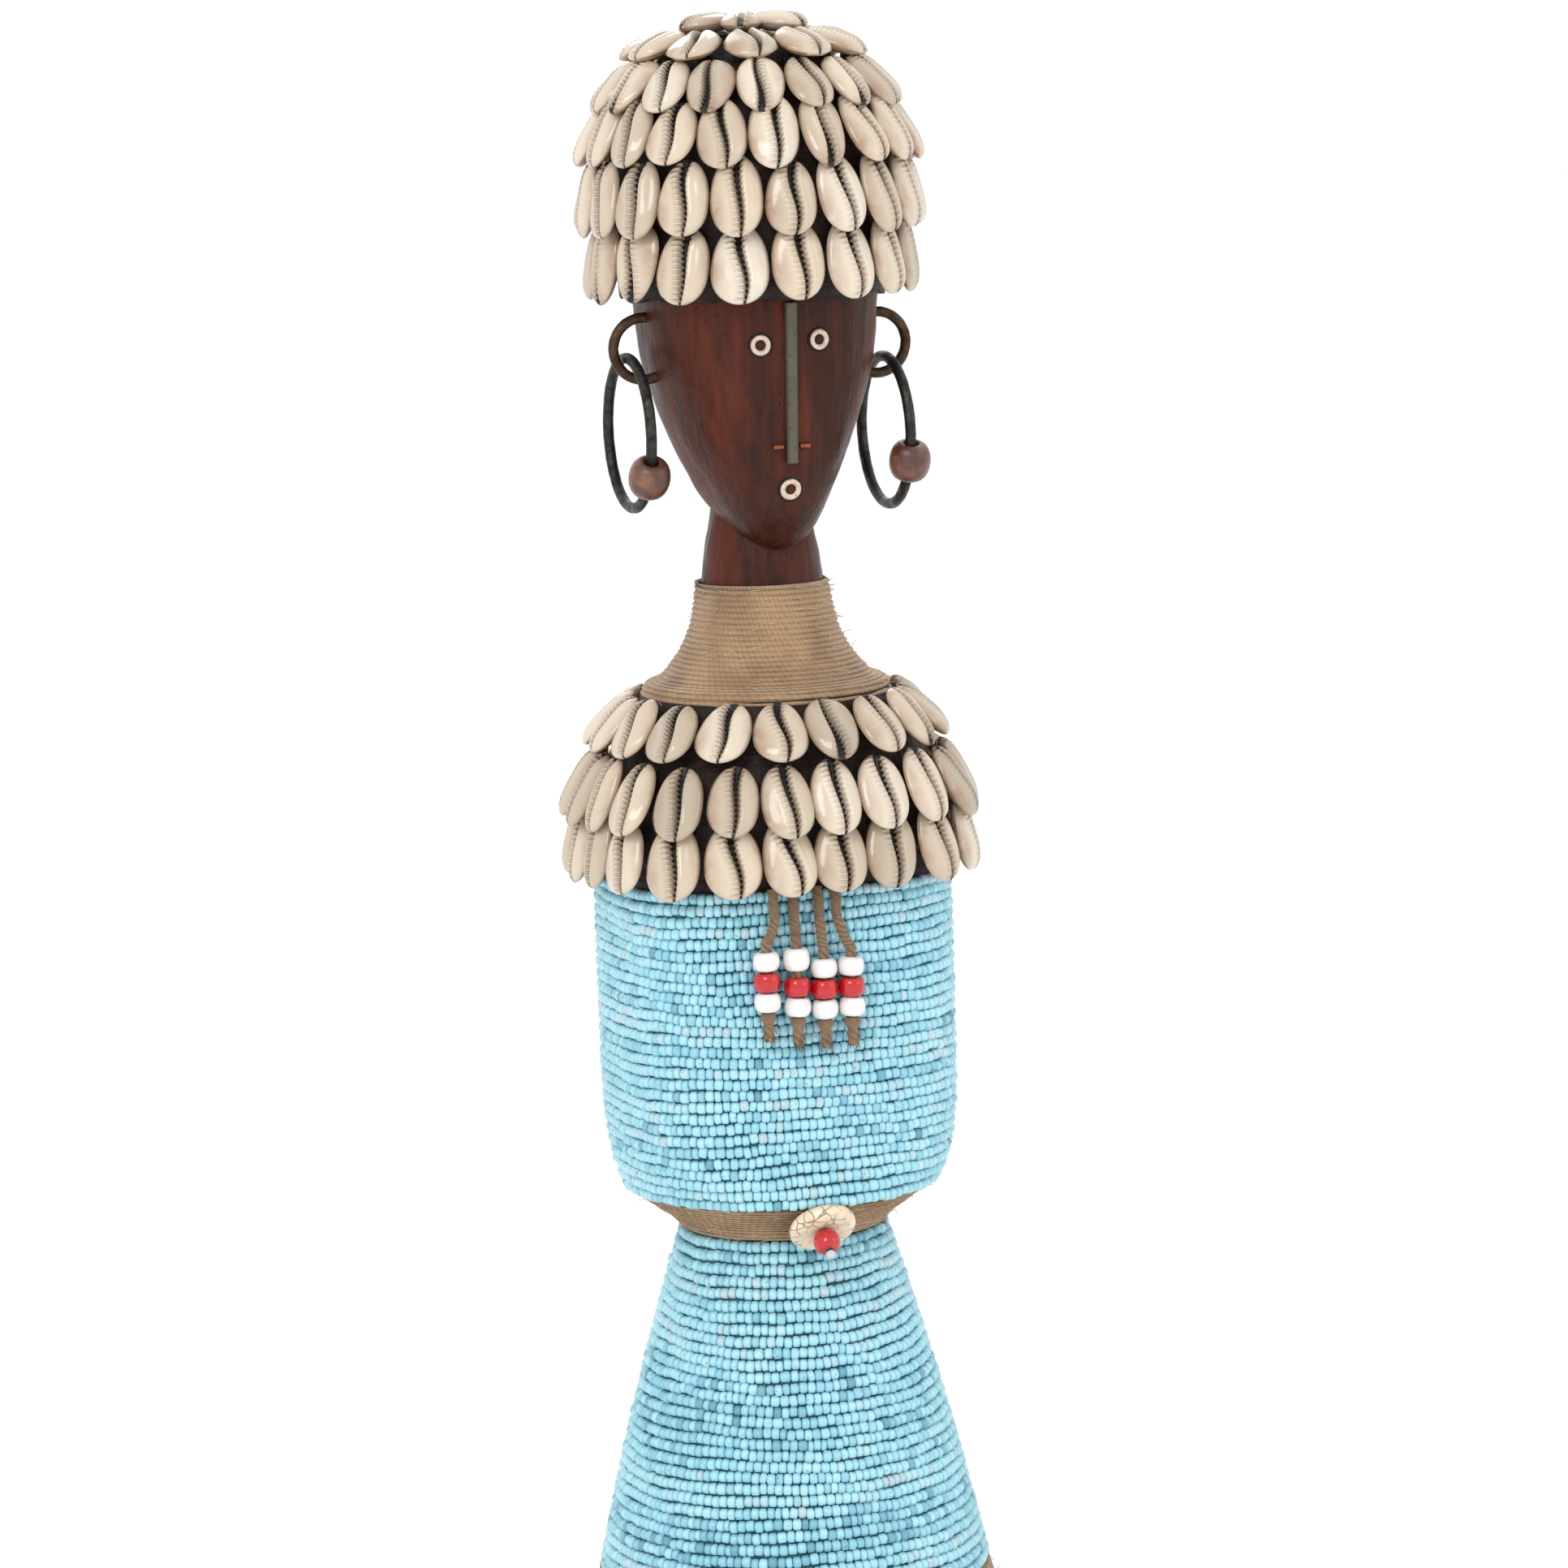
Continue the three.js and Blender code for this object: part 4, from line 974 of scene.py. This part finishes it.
class MakePitch(bpy.types.Operator):
    """Spreads the dark pitch that holds the hair and collar shells"""
    bl_idname = "doll.make_pitch"
    bl_label = "Pitch beds"
    bl_options = {"REGISTER", "UNDO"}

    def execute(self, context):
        levels = [(0.0, HAIRLINE), (hair_radius(HAIRLINE) - 1 * MM, HAIRLINE)]
        heights = [HAIRLINE + HAIR * (1 - (1 - k / 30) ** 1.6) for k in range(30)]
        levels += [(hair_radius(z), z) for z in heights]
        levels += [(0.0, CROWN)]

        def hair(u, v):
            r, z = levels[round(v * (len(levels) - 1))]
            p = Vector((r * math.sin(2 * math.pi * u), -r * math.cos(2 * math.pi * u), z))
            return p * (1 + rough(p, 6 * MM, 0.004)) if r else p
        piece("hair_pitch", swept(hair, 96, len(levels) - 1), "doll", "pitch", "hair_pitch_bed")
        edge = TORSO_TOP + 3.4 * MM
        heights = [edge + (SHOULDER - 2.5 * MM - edge) * k / 24 for k in range(25)]
        skin = [(wood_radius(z) + GAP + PITCH * (0.6 + 0.4 * min(1, k / 8)), z) for k, z in enumerate(heights)]
        skin += [(wood_radius(z) + GAP, z) for z in reversed(heights)]
        skin.append(skin[0])

        def collar(u, v):
            r, z = skin[round(v * (len(skin) - 1))]
            p = body_point(r, 2 * math.pi * u, z)
            out = outward_of(p)
            return p + out * rough(p, 5 * MM, 0.5 * MM) * (1 if r > wood_radius(z) + 1 * MM else 0)
        piece("collar_pitch", swept(collar, 112, len(skin) - 1), "doll", "pitch", "collar_pitch_bed")
        return {"FINISHED"}


# ---- Cowries ----

def cowrie_mesh(slant, egg, mouth):
    """One unit cowrie: width and length 1, back at y 0 and mouth at y 1, its wider end down."""
    def lips(t):
        return -0.05 + slant * math.sin(2.6 * t) * 0.07

    def place(u, v):
        t = -math.cos(math.pi * v)
        wide = 0.5 * max(0.0, 1 - abs(t) ** 2.35) ** 0.5 * (1 - egg * t)
        if u <= 0.84:
            s = 2 * u / 0.84 - 1
            reach = math.copysign(abs(s) ** 1.45, s)
            middle = lips(t) * min(1.0, wide * 6)
            x = middle + abs(reach) * (math.copysign(wide, s) - middle)
            across = x - middle
            dome = max(0.0, 1 - abs(t) ** 3.4) ** 0.5 * max(0.0, 1 - abs(reach) ** 2.5) ** 0.62
            gap = mouth * (0.85 + 0.65 * t) + 0.01
            slit = math.exp(-(across / gap) ** 2) * max(0.0, 1 - abs(t) ** 7)
            lip = 0.1 * math.exp(-((abs(across) - 0.13) / 0.07) ** 2) * max(0.0, 1 - t ** 4)
            rim = max(0.0, 1 - abs(reach) ** 4)
            return Vector((x, 0.46 + 0.5 * dome + rim * (lip - 0.42 * slit), t / 2))
        s = 1 - 2 * (u - 0.84) / 0.16
        return Vector((wide * math.copysign(abs(s) ** 0.8, s),
                           0.46 - 0.44 * max(0.0, 1 - t * t) ** 0.5 * max(0.0, 1 - s * s) ** 0.6, t / 2))
    bm = swept(place, 31, 30)
    bmesh.ops.recalc_face_normals(bm, faces=bm.faces)
    uv = bm.loops.layers.uv.verify()
    for face in bm.faces:
        hidden = face.calc_center_median().y < 0.42
        for loop in face.loops:
            co = loop.vert.co
            across = (co.x - lips(2 * co.z)) * 15 / 20
            loop[uv].uv = (0.98 if hidden else 0.5 + across, co.z + 0.5)
    return mesh_of(bm, "Cowrie")


# Each row: the height of the lower tips in mm, tilt, length in mm, shells, first turn, share turned over
HAIR_ROWS = [
    (392.0, 0.2, 22.2, 17, -0.7, 0.0), (409.8, 0.24, 22.2, 19, -3.2, 0.0), (428.6, 0.24, 21.4, 19, -8.1, 0.0),
    (444.0, 0.22, 19.6, 17, -11.4, 0.1), (458.4, 0.26, 17.5, 11, -14.5, 0.4),
    (466.8, 0.16, 15.5, 6, -21.5, 0.6),
]
COLLAR_ROWS = [
    (229.4, 0.22, 22.0, 21, -6.4, 0.0), (246.4, 0.25, 22.0, 22, 2.0, 0.0), (266.6, 0.25, 20.4, 18, 5.9, 0.0),
]
TURNED_BY_CHANCE = 0.06


def row_level(row, thickness, lean_at):
    """Where on the bed a row's shells are centred so that their tips hang at their height, the lean of the
    bed there, and the room left under the tips when the bed ends too low."""
    tip, tilt, length, *_ = row
    z = (tip + length / 2) * MM
    for _ in range(12):
        lean = lean_at(z)
        lift = shell_lift(length * MM, thickness, tilt)
        reached = z + lift * math.sin(lean) - length / 2 * MM * math.cos(lean + tilt)
        z = min(z + 0.7 * (tip * MM - reached), CROWN - 0.15 * MM)
    return z, lean_at(z), max(0.0, tip * MM - reached)


def shell_lift(length, thickness, tilt):
    """How far above its bed a tilted shell's middle lies."""
    return thickness / 2 + GAP + 0.46 * length * math.sin(tilt)


def cowrie_rows(node_name, rows, lean_at, bed_radius, point_at, sizes, seed):
    """Every row of shells on one bed."""
    shapes = cowrie_shapes()
    for index, row in enumerate(rows):
        z, lean, spare = row_level(row, sizes.cowrie_thickness, lean_at)
        r = bed_radius(z)
        cowrie_row(f"{node_name}_{index + 1}", partial(point_at, r, z), lean, spare, row, shapes, sizes,
                   seed + index)


def cowrie_row(name, bed, lean, spare, row, shapes, sizes, seed):
    _, tilt, length, count, first, turned = row
    thickness = sizes.cowrie_thickness
    rng = np.random.default_rng(seed)
    length *= MM
    lift = shell_lift(length, thickness, tilt) + spare
    places, picks = [], []
    spots = ring_spots(bed, count, math.radians(first))
    out = lift * math.cos(lean)
    girth = sum((spots[k][0] + spots[k][1] * out - spots[k - 1][0] - spots[k - 1][1] * out).length
                for k in range(count))
    for point, outward in spots:
        slack = sizes.disorder * rng.normal(0, 1, 5)
        up = Vector((0, 0, math.cos(lean))) - outward * math.sin(lean)
        normal = outward * math.cos(lean) + Vector((0, 0, math.sin(lean)))
        here = tilt + 0.035 * slack[0]
        axis = up * math.cos(here) - normal * math.sin(here)
        face = normal * math.cos(here) + up * math.sin(here)
        side = face.cross(axis)
        centre = point + normal * lift + axis * 0.35 * MM * slack[1] - face * thickness / 2
        basis = based(side, face, axis, centre)
        spin = 0.07 * slack[2] + (math.pi if rng.random() < turned + TURNED_BY_CHANCE else 0.0)
        wide = girth / count * (0.985 + 0.03 * slack[3])
        tall = length * (1 + 0.03 * slack[4])
        places.append(basis @ Matrix.Rotation(spin, 4, "Y") @ Matrix.Diagonal((wide, thickness, tall, 1)))
        picks.append(int(rng.integers(0, len(shapes))))
    mesh = stamped(shapes, places, picks, seed)
    settle(name.replace("_row_", "_shells_"), mesh, "doll", "shell", name)


def cowrie_shapes():
    return [cowrie_mesh(1.0, 0.13, 0.055), cowrie_mesh(0.7, 0.1, 0.065), cowrie_mesh(1.25, 0.16, 0.05),
            cowrie_mesh(0.85, 0.06, 0.06)]


def hair_lean(z):
    probe, step = min(z, CROWN - 0.8 * MM), 0.6 * MM
    return max(0.0, math.atan((hair_radius(probe - step) - hair_radius(probe + step)) / (2 * step)))


def collar_lean(z):
    reach = 0.1 * COLLAR
    return math.atan((wood_radius(z - reach) - wood_radius(z + reach)) / (2 * reach))


class MakeHair(bpy.types.Operator):
    """Sets the six rows of hair cowries in their pitch"""
    bl_idname = "doll.make_hair"
    bl_label = "Cowrie hair"
    bl_options = {"REGISTER", "UNDO"}

    def execute(self, context):
        sizes = context.scene.doll_sizes
        def point_at(r, z, turn):
            return (r * math.sin(turn), -r * math.cos(turn), z)
        cowrie_rows("hair_cowrie_row", HAIR_ROWS, hair_lean, hair_radius, point_at, sizes, sizes.seed)
        return {"FINISHED"}


class MakeCollar(bpy.types.Operator):
    """Sets the three rows of collar cowries on the shoulders"""
    bl_idname = "doll.make_collar"
    bl_label = "Cowrie collar"
    bl_options = {"REGISTER", "UNDO"}

    def execute(self, context):
        sizes = context.scene.doll_sizes
        def bed_radius(z):
            return wood_radius(z) + GAP + PITCH

        def point_at(r, z, turn):
            return tuple(body_point(r, turn, z))
        cowrie_rows("collar_cowrie_row", COLLAR_ROWS, collar_lean, bed_radius, point_at, sizes, sizes.seed + 20)
        return {"FINISHED"}


# ---- Twine and bead windings ----

def twine_wrap(name, bottom, top, pitch, lift, seed):
    """Twine wound in close turns, as one skin with a scalloped outside, and its loose fibres."""
    fine = 400
    heights = [bottom + (top - bottom) * k / fine for k in range(fine + 1)]
    run = [0.0]
    for a, b in zip(heights, heights[1:]):
        run.append(run[-1] + math.hypot(b - a, wood_radius(b) + lift(b) - wood_radius(a) - lift(a)))
    turns = run[-1] / pitch
    outer_rows = int(turns * 6)
    total = outer_rows + 4

    def place(u, v):
        i, angle = round(v * total), 2 * math.pi * u
        if i == total or i == 0:
            i = 0
        if i > outer_rows:
            back = (total - i) / 4
            z = bottom + (top - bottom) * back
            return body_point(wood_radius(z) + GAP + lift(z), angle, z)
        along = i / outer_rows * run[-1]
        z = float(np.interp(along, run, heights))
        scallop = abs(math.sin(math.pi * (along / pitch + u)))
        p = body_point(wood_radius(z) + GAP + lift(z), angle, z)
        out = outward_of(p)
        strand = math.floor(along / pitch + u) - u
        loose = 0.2 * noise.noise(Vector((3 * math.cos(angle), 3 * math.sin(angle), strand * 1.7)))
        return p + out * TWINE * (0.25 + 0.67 * scallop ** 0.8 + loose)
    piece(name, swept(place, 150, total), "doll", "twine", name + "_wrap")
    rng = np.random.default_rng(seed)
    places = []
    for _ in range(WRAP_FIBRES):
        z, turn = rng.uniform(bottom, top), rng.uniform(0, 2 * math.pi)
        at = body_point(wood_radius(z) + GAP + lift(z) + TWINE * 0.7, turn, z)
        out = outward_of(at)
        along = Vector((0, 0, 1)).cross(out) * rng.choice((-1, 1))
        places.append(aimed(at, along + out * rng.uniform(0.05, 0.5) + Vector((0, 0, rng.normal(0, 0.3))))
                      @ Matrix.Diagonal((1, 1, rng.uniform(0.3, 1.0), 1)))
    mesh = stamped([fibre_mesh(5 * MM, 0.2 * MM)], places, seed=seed)
    settle(name + "_fibres", mesh, "doll", "twine", look="fibre")


class MakeWraps(bpy.types.Operator):
    """Winds the twine on the hem, the waist and the neck"""
    bl_idname = "doll.make_wraps"
    bl_label = "Twine wraps"
    bl_options = {"REGISTER", "UNDO"}

    def execute(self, context):
        sizes = context.scene.doll_sizes
        def flat(z):
            return 0.0

        def over_pitch(z):
            return 3 * MM * smooth(SHOULDER + 1.5 * MM, SHOULDER - 0.5 * MM, z)
        for seed, (name, bottom, top, lift) in enumerate((
                ("hem", HEM_LOW, HEM_TOP, flat), ("waist", SKIRT_TOP, WAIST_TOP - GAP, flat),
                ("neck", SHOULDER - 4 * MM, WRAP_TOP, over_pitch))):
            twine_wrap(name + "_twine", bottom, top, sizes.twine_pitch, lift, seed)
        return {"FINISHED"}


# Each wave of the bead rows: its depth, how many go round, and how far it drifts from row to row
ROW_WAVES = ((0.5 * MM, 2, 0.24), (0.25 * MM, 5, 0.4), (0.14 * MM, 13, 0.9))


def seed_bead_mesh():
    """One seed bead along Z, a unit wide and a unit long, with few faces."""
    bm = bmesh.new()
    bmesh.ops.create_cone(bm, cap_ends=True, segments=8, radius1=0.5, radius2=0.5, depth=1.0)
    rims = [e for e in bm.edges if abs(e.verts[0].co.z - e.verts[1].co.z) < 0.1]
    bmesh.ops.bevel(bm, geom=rims, offset=0.17, offset_type="OFFSET", segments=1, profile=0.5,
                    affect="EDGES", material=-1)
    bmesh.ops.recalc_face_normals(bm, faces=bm.faces)
    return mesh_of(bm, "Seed bead")


WINDING_PARTS = 2   # pieces that one winding is kept in


def along_curve(spots, run, points):
    """The points at those distances along a curve."""
    return np.stack([np.interp(spots, run, points[:, axis]) for axis in range(3)], 1)


def bead_winding(name, bottom, top, pitch, sizes, seed):
    """Strung beads laid round the body in close rows, over a bed of thread whose colour is painted shade between
    the rows.
    """
    rng = np.random.default_rng(seed)
    width, length = sizes.seed_width, sizes.seed_length
    room = top - bottom - width * 0.9
    rows = round(room / pitch)
    turn = np.arange(241) / 240 * 2 * np.pi
    here, ahead, gaps = [], [], []
    for row in range(rows + 1):
        level = bottom + width * 0.45 + room * row / rows
        free = sizes.disorder * min(1.0, row / 2, (rows - row) / 2)
        z = level + free * sum(depth * np.sin(waves * turn + drift * row)
                               for depth, waves, drift in ROW_WAVES)
        points = np.array([body_point(wood_radius(float(a)) + GAP + width * 0.5, float(b), float(a))
                           for a, b in zip(z, turn)])
        run = np.r_[0, np.cumsum(np.linalg.norm(np.diff(points, axis=0), axis=1))]
        count = round(run[-1] / (length * 1.01))
        lengths = 1 + 0.1 * sizes.disorder * rng.normal(0, 1, count)
        lengths *= run[-1] / lengths.sum()
        spots = (np.cumsum(lengths) - lengths / 2 + rng.uniform(0, length)) % run[-1]
        here.append(along_curve(spots, run, points))
        ahead.append(along_curve((spots + 0.5 * MM) % run[-1], run, points))
        gaps.append(lengths)
    here, ahead, gaps = np.concatenate(here), np.concatenate(ahead), np.concatenate(gaps)
    places, tones, drift = [], [], 0.5
    for k in range(len(here)):
        along = Vector(ahead[k] - here[k]).normalized()
        out = outward_of(here[k])
        slack = rng.normal(0, 1, 5) * sizes.disorder
        centre = Vector(here[k]) + out * 0.12 * MM * slack[0] + Vector((0, 0, 0.14 * MM * slack[1]))
        tip = along + Vector((0, 0, 0.08 * slack[2])) + out * 0.06 * slack[3]
        size = width * min(1.05, 0.985 + 0.03 * slack[4])
        places.append(aimed(centre, tip, out) @ Matrix.Diagonal((size, size, gaps[k] * 0.985, 1)))
        drift = min(1.0, max(0.0, drift + rng.normal(0, 0.05)))
        tones.append(min(1.0, max(0.0, 0.5 * drift + 0.25 + rng.normal(0, 0.17))))
    share = len(places) // WINDING_PARTS + 1
    for part in range(WINDING_PARTS):
        chosen = slice(part * share, (part + 1) * share)
        mesh = stamped([seed_bead_mesh()], places[chosen], seed=seed, tones=tones[chosen])
        settle(f"{name}_beads_{part + 1}", mesh, "doll", "seed_beads", name + "_bead_winding")

    # The bed under the beads, coloured as painted shade where it shows between the rows
    heights = [bottom + (top - bottom) * k / 40 for k in range(41)]
    skin = [(wood_radius(h) + GAP + 1.1 * MM, h) for h in heights]
    skin += [(wood_radius(h) + GAP, h) for h in reversed(heights)]
    skin.append(skin[0])

    def thread(u, v):
        r, h = skin[round(v * (len(skin) - 1))]
        return body_point(r, 2 * math.pi * u, h)
    piece(name + "_thread", swept(thread, 96, len(skin) - 1), "doll", "seed_beads", look="thread")


class MakeWindings(bpy.types.Operator):
    """Winds the blue seed beads on the skirt and the torso"""
    bl_idname = "doll.make_windings"
    bl_label = "Bead windings"
    bl_options = {"REGISTER", "UNDO"}

    def execute(self, context):
        sizes = context.scene.doll_sizes
        bead_winding("skirt", HEM_TOP + 0.4 * MM, SKIRT_TOP - 0.4 * MM, sizes.skirt_pitch, sizes, 11)
        bead_winding("torso", WAIST_TOP, TORSO_TOP + 3 * MM, sizes.torso_pitch, sizes, 12)
        return {"FINISHED"}


# ---- Face, ears and navel ----

class MakeFace(bpy.types.Operator):
    """Sets the nose rod, the bone rings and the copper nostril pins"""
    bl_idname = "doll.make_face"
    bl_label = "Face trim"
    bl_options = {"REGISTER", "UNDO"}

    def execute(self, context):
        low_corner, high_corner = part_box("nose_rod")
        ends = (Vector((0, high_corner.y - NOSE_RADIUS, low_corner.z)),
                Vector((0, low_corner.y + NOSE_RADIUS, high_corner.z)))

        def rod(u, v):
            t = (1 - math.cos(math.pi * v)) / 2
            angle = 2 * math.pi * u
            girth = (1.62 + 0.16 * t) * MM * (1 - (2 * v - 1) ** 40) ** 0.5
            girth *= 1 + 0.03 * noise.noise(Vector((math.sin(angle), math.cos(angle), 22 * t)))
            return ends[0].lerp(ends[1], t) + Vector((girth * math.cos(angle), girth * math.sin(angle), 0))
        piece("nose_bar", swept(rod, 24, 40), "doll", "nose_metal", "nose_rod")
        spots = (("eye", "_left", -8.5 * MM), ("eye", "_right", 8.5 * MM), ("mouth", "", 0.0))
        for kind, tail, x in spots:
            ring, plug = f"{kind}_ring{tail}", f"{kind}_plug{tail}"
            a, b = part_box(ring)
            place = face_matrix(x, (a.z + b.z) / 2)
            outer, bore = 3.1 if kind == "mouth" else 2.9, 1.45
            profile = [(bore, -2.6), (outer, -2.6), (outer, 0.15), (outer - 0.35, 0.5), (outer - 0.8, 0.58),
                       (bore + 0.45, 0.5), (bore + 0.1, 0.25), (bore, -0.1), (bore, -2.6)]
            bm = moved(spun_mm(profile, 48), place)
            for v in bm.verts:
                v.co += (place.to_3x3() @ Vector((0, 0, 1))) * rough(v.co, 1.6 * MM, 0.1 * MM)
            piece(f"{kind}_bone{tail}", bm, "doll", "bone", ring)
            bm = moved(spun_mm([(0, -2.6), (bore - 0.25, -2.6), (bore - 0.25, 0.1), (bore - 0.6, 0.3), (0, 0.36)],
                               32), place)
            piece(f"{kind}_peg{tail}", bm, "doll", "wood", plug)
            bm = ring_bar(place, (outer + 0.18) * MM, 0.75 * MM, 56, 8, 0.4)
            piece(f"{kind}_setting{tail}", bm, "doll", "pitch")
        for side in ("left", "right"):
            a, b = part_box(f"nostril_pin_{side}")
            sign = -1 if side == "left" else 1
            middle = (a.z + b.z) / 2
            inner = Vector((sign * min(abs(a.x), abs(b.x)), a.y + NOSTRIL_RADIUS, middle))
            tip = Vector((sign * max(abs(a.x), abs(b.x)), b.y - NOSTRIL_RADIUS, middle))
            route = [inner.lerp(tip, k / 6) for k in range(7)]
            bm = tube(route, NOSTRIL_RADIUS, 16, 12, side=Vector((0, 0, 1)))
            piece(f"nostril_wire_{side}", bm, "doll", "copper", f"nostril_pin_{side}")
        return {"FINISHED"}


class MakeEarrings(bpy.types.Operator):
    """Bends the ear loops and the hoops and threads the hoop beads"""
    bl_idname = "doll.make_earrings"
    bl_label = "Earrings"
    bl_options = {"REGISTER", "UNDO"}

    def execute(self, context):
        for side, sign in (("left", -1), ("right", 1)):
            turn = HOOP_BEAD_TURNS[side]
            a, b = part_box(f"ear_loop_{side}")
            centre = Vector((sign * (HEAD_HALF_WIDTH + 0.2 * MM), (a.y + b.y) / 2, (a.z + b.z) / 2))
            plane = based(Vector((sign, 0, 0)), Vector((0, 0, 1)), Vector((0, 1, 0)), centre)
            bm = ring_bar(plane, EAR_RADIUS, EAR_WIRE, 60, 18, 0.08, -EAR_ARC, EAR_ARC)
            piece(f"ear_wire_{side}", bm, "doll", "bronze_wire", f"ear_loop_{side}")
            a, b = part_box(f"earring_hoop_{side}")
            middle = (a + b) / 2
            plane = aimed(middle, Vector((1, 0, 0)), Vector((0, 1, 0)))
            bm = ring_bar(plane, HOOP_RADIUS, HOOP_WIRE, 120, 18, 0.07)
            piece(f"hoop_wire_{side}", bm, f"{side}_hoop", "dark_wire", f"earring_hoop_{side}")
            spot = middle + HOOP_RADIUS * Vector((0, -math.cos(turn), -math.sin(turn)))
            bm = drilled(11.6 * MM, 10.6 * MM, 2.3 * MM, 1.25)
            place = aimed(spot, Vector((0, -math.sin(turn), math.cos(turn))))
            moved(bm, place)
            piece(f"hoop_wood_bead_{side}", bm, f"{side}_hoop_bead", "turned_wood", f"hoop_bead_{side}")
        return {"FINISHED"}


class MakeNavel(bpy.types.Operator):
    """Turns the navel disc, its red bead, its small stop bead and their pin"""
    bl_idname = "doll.make_navel"
    bl_label = "Navel"
    bl_options = {"REGISTER", "UNDO"}

    def execute(self, context):
        a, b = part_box("navel_disc")
        middle = (a + b) / 2
        direction = Vector((0, -math.cos(NAVEL_TILT), -math.sin(NAVEL_TILT)))
        root = middle - direction * NAVEL_MIDDLE

        def along(distance):
            return aimed(root + direction * distance * MM, direction)
        r = 9.45
        profile = [(1.25, 0), (r - 1.4, 0), (r - 0.5, 0.4), (r, 1.2), (r, 2.5), (r - 0.4, 3.2), (r - 1.4, 3.7),
                   (r - 3, 3.8), (2.2, 3.55), (1.4, 3.4), (1.25, 3.0), (1.25, 0)]
        bm = spun_mm(profile, 72)
        for v in bm.verts:
            push = Vector((v.co.x, v.co.y, 0)) * 0.02 * noise.noise(v.co * 300)
            v.co += push + Vector((0, 0, rough(v.co, 3 * MM, 0.12 * MM)))
        moved(bm, along(2.7))
        piece("navel_shell_disc", bm, "navel_disc", "stone", "navel_disc")
        bm = drilled(7.6 * MM, 5.6 * MM, 1.2 * MM, 0.85)
        moved(bm, along(9.6))
        piece("navel_red_glass", bm, "navel_red_bead", "red_glass", "navel_red_bead")
        bm = spun_mm([(0, 0), (0.8, 0), (1.2, 0.35), (1.35, 1), (1.2, 1.75), (0.8, 2.2), (0, 2.2)], 32)
        moved(bm, along(12.7))
        piece("navel_stop_glass", bm, "doll", "clear_glass", "navel_stop_bead")
        bm = spun_mm([(0, -8), (0.9, -8), (0.9, 12.4), (0, 12.4)], 24)
        moved(bm, along(0))
        piece("navel_wire", bm, "doll", "dark_wire", "navel_pin")
        return {"FINISHED"}


# ---- Panel and registration ----

STEPS = (MakeStage, MakeTassels, MakeWood, MakePitch, MakeHair, MakeCollar, MakeWraps, MakeWindings, MakeFace,
         MakeEarrings, MakeNavel)


class DollPanel(bpy.types.Panel):
    """Lists the steps and the sizes of the doll"""
    bl_idname = "VIEW3D_PT_doll"
    bl_label = "Fertility doll"
    bl_space_type = "VIEW_3D"
    bl_region_type = "UI"
    bl_category = "Doll"

    def draw(self, context):
        for step in STEPS:
            self.layout.operator(step.bl_idname)
        for settings in (context.scene.doll_sizes, context.scene.doll_look):
            for key in settings.__annotations__:
                self.layout.prop(settings, key)


CLASSES = (DollLook, DollSizes, *STEPS, DollPanel)


def register():
    for cls in CLASSES:
        bpy.utils.register_class(cls)
    bpy.types.Scene.doll_look = PointerProperty(type=DollLook)
    bpy.types.Scene.doll_sizes = PointerProperty(type=DollSizes)


def unregister():
    del bpy.types.Scene.doll_sizes
    del bpy.types.Scene.doll_look
    for cls in reversed(CLASSES):
        bpy.utils.unregister_class(cls)


def main():
    register()
    for step in STEPS:
        getattr(bpy.ops.doll, step.bl_idname.split(".")[1])()
    bpy.context.view_layer.update()


if __name__ == "__main__":
    main()
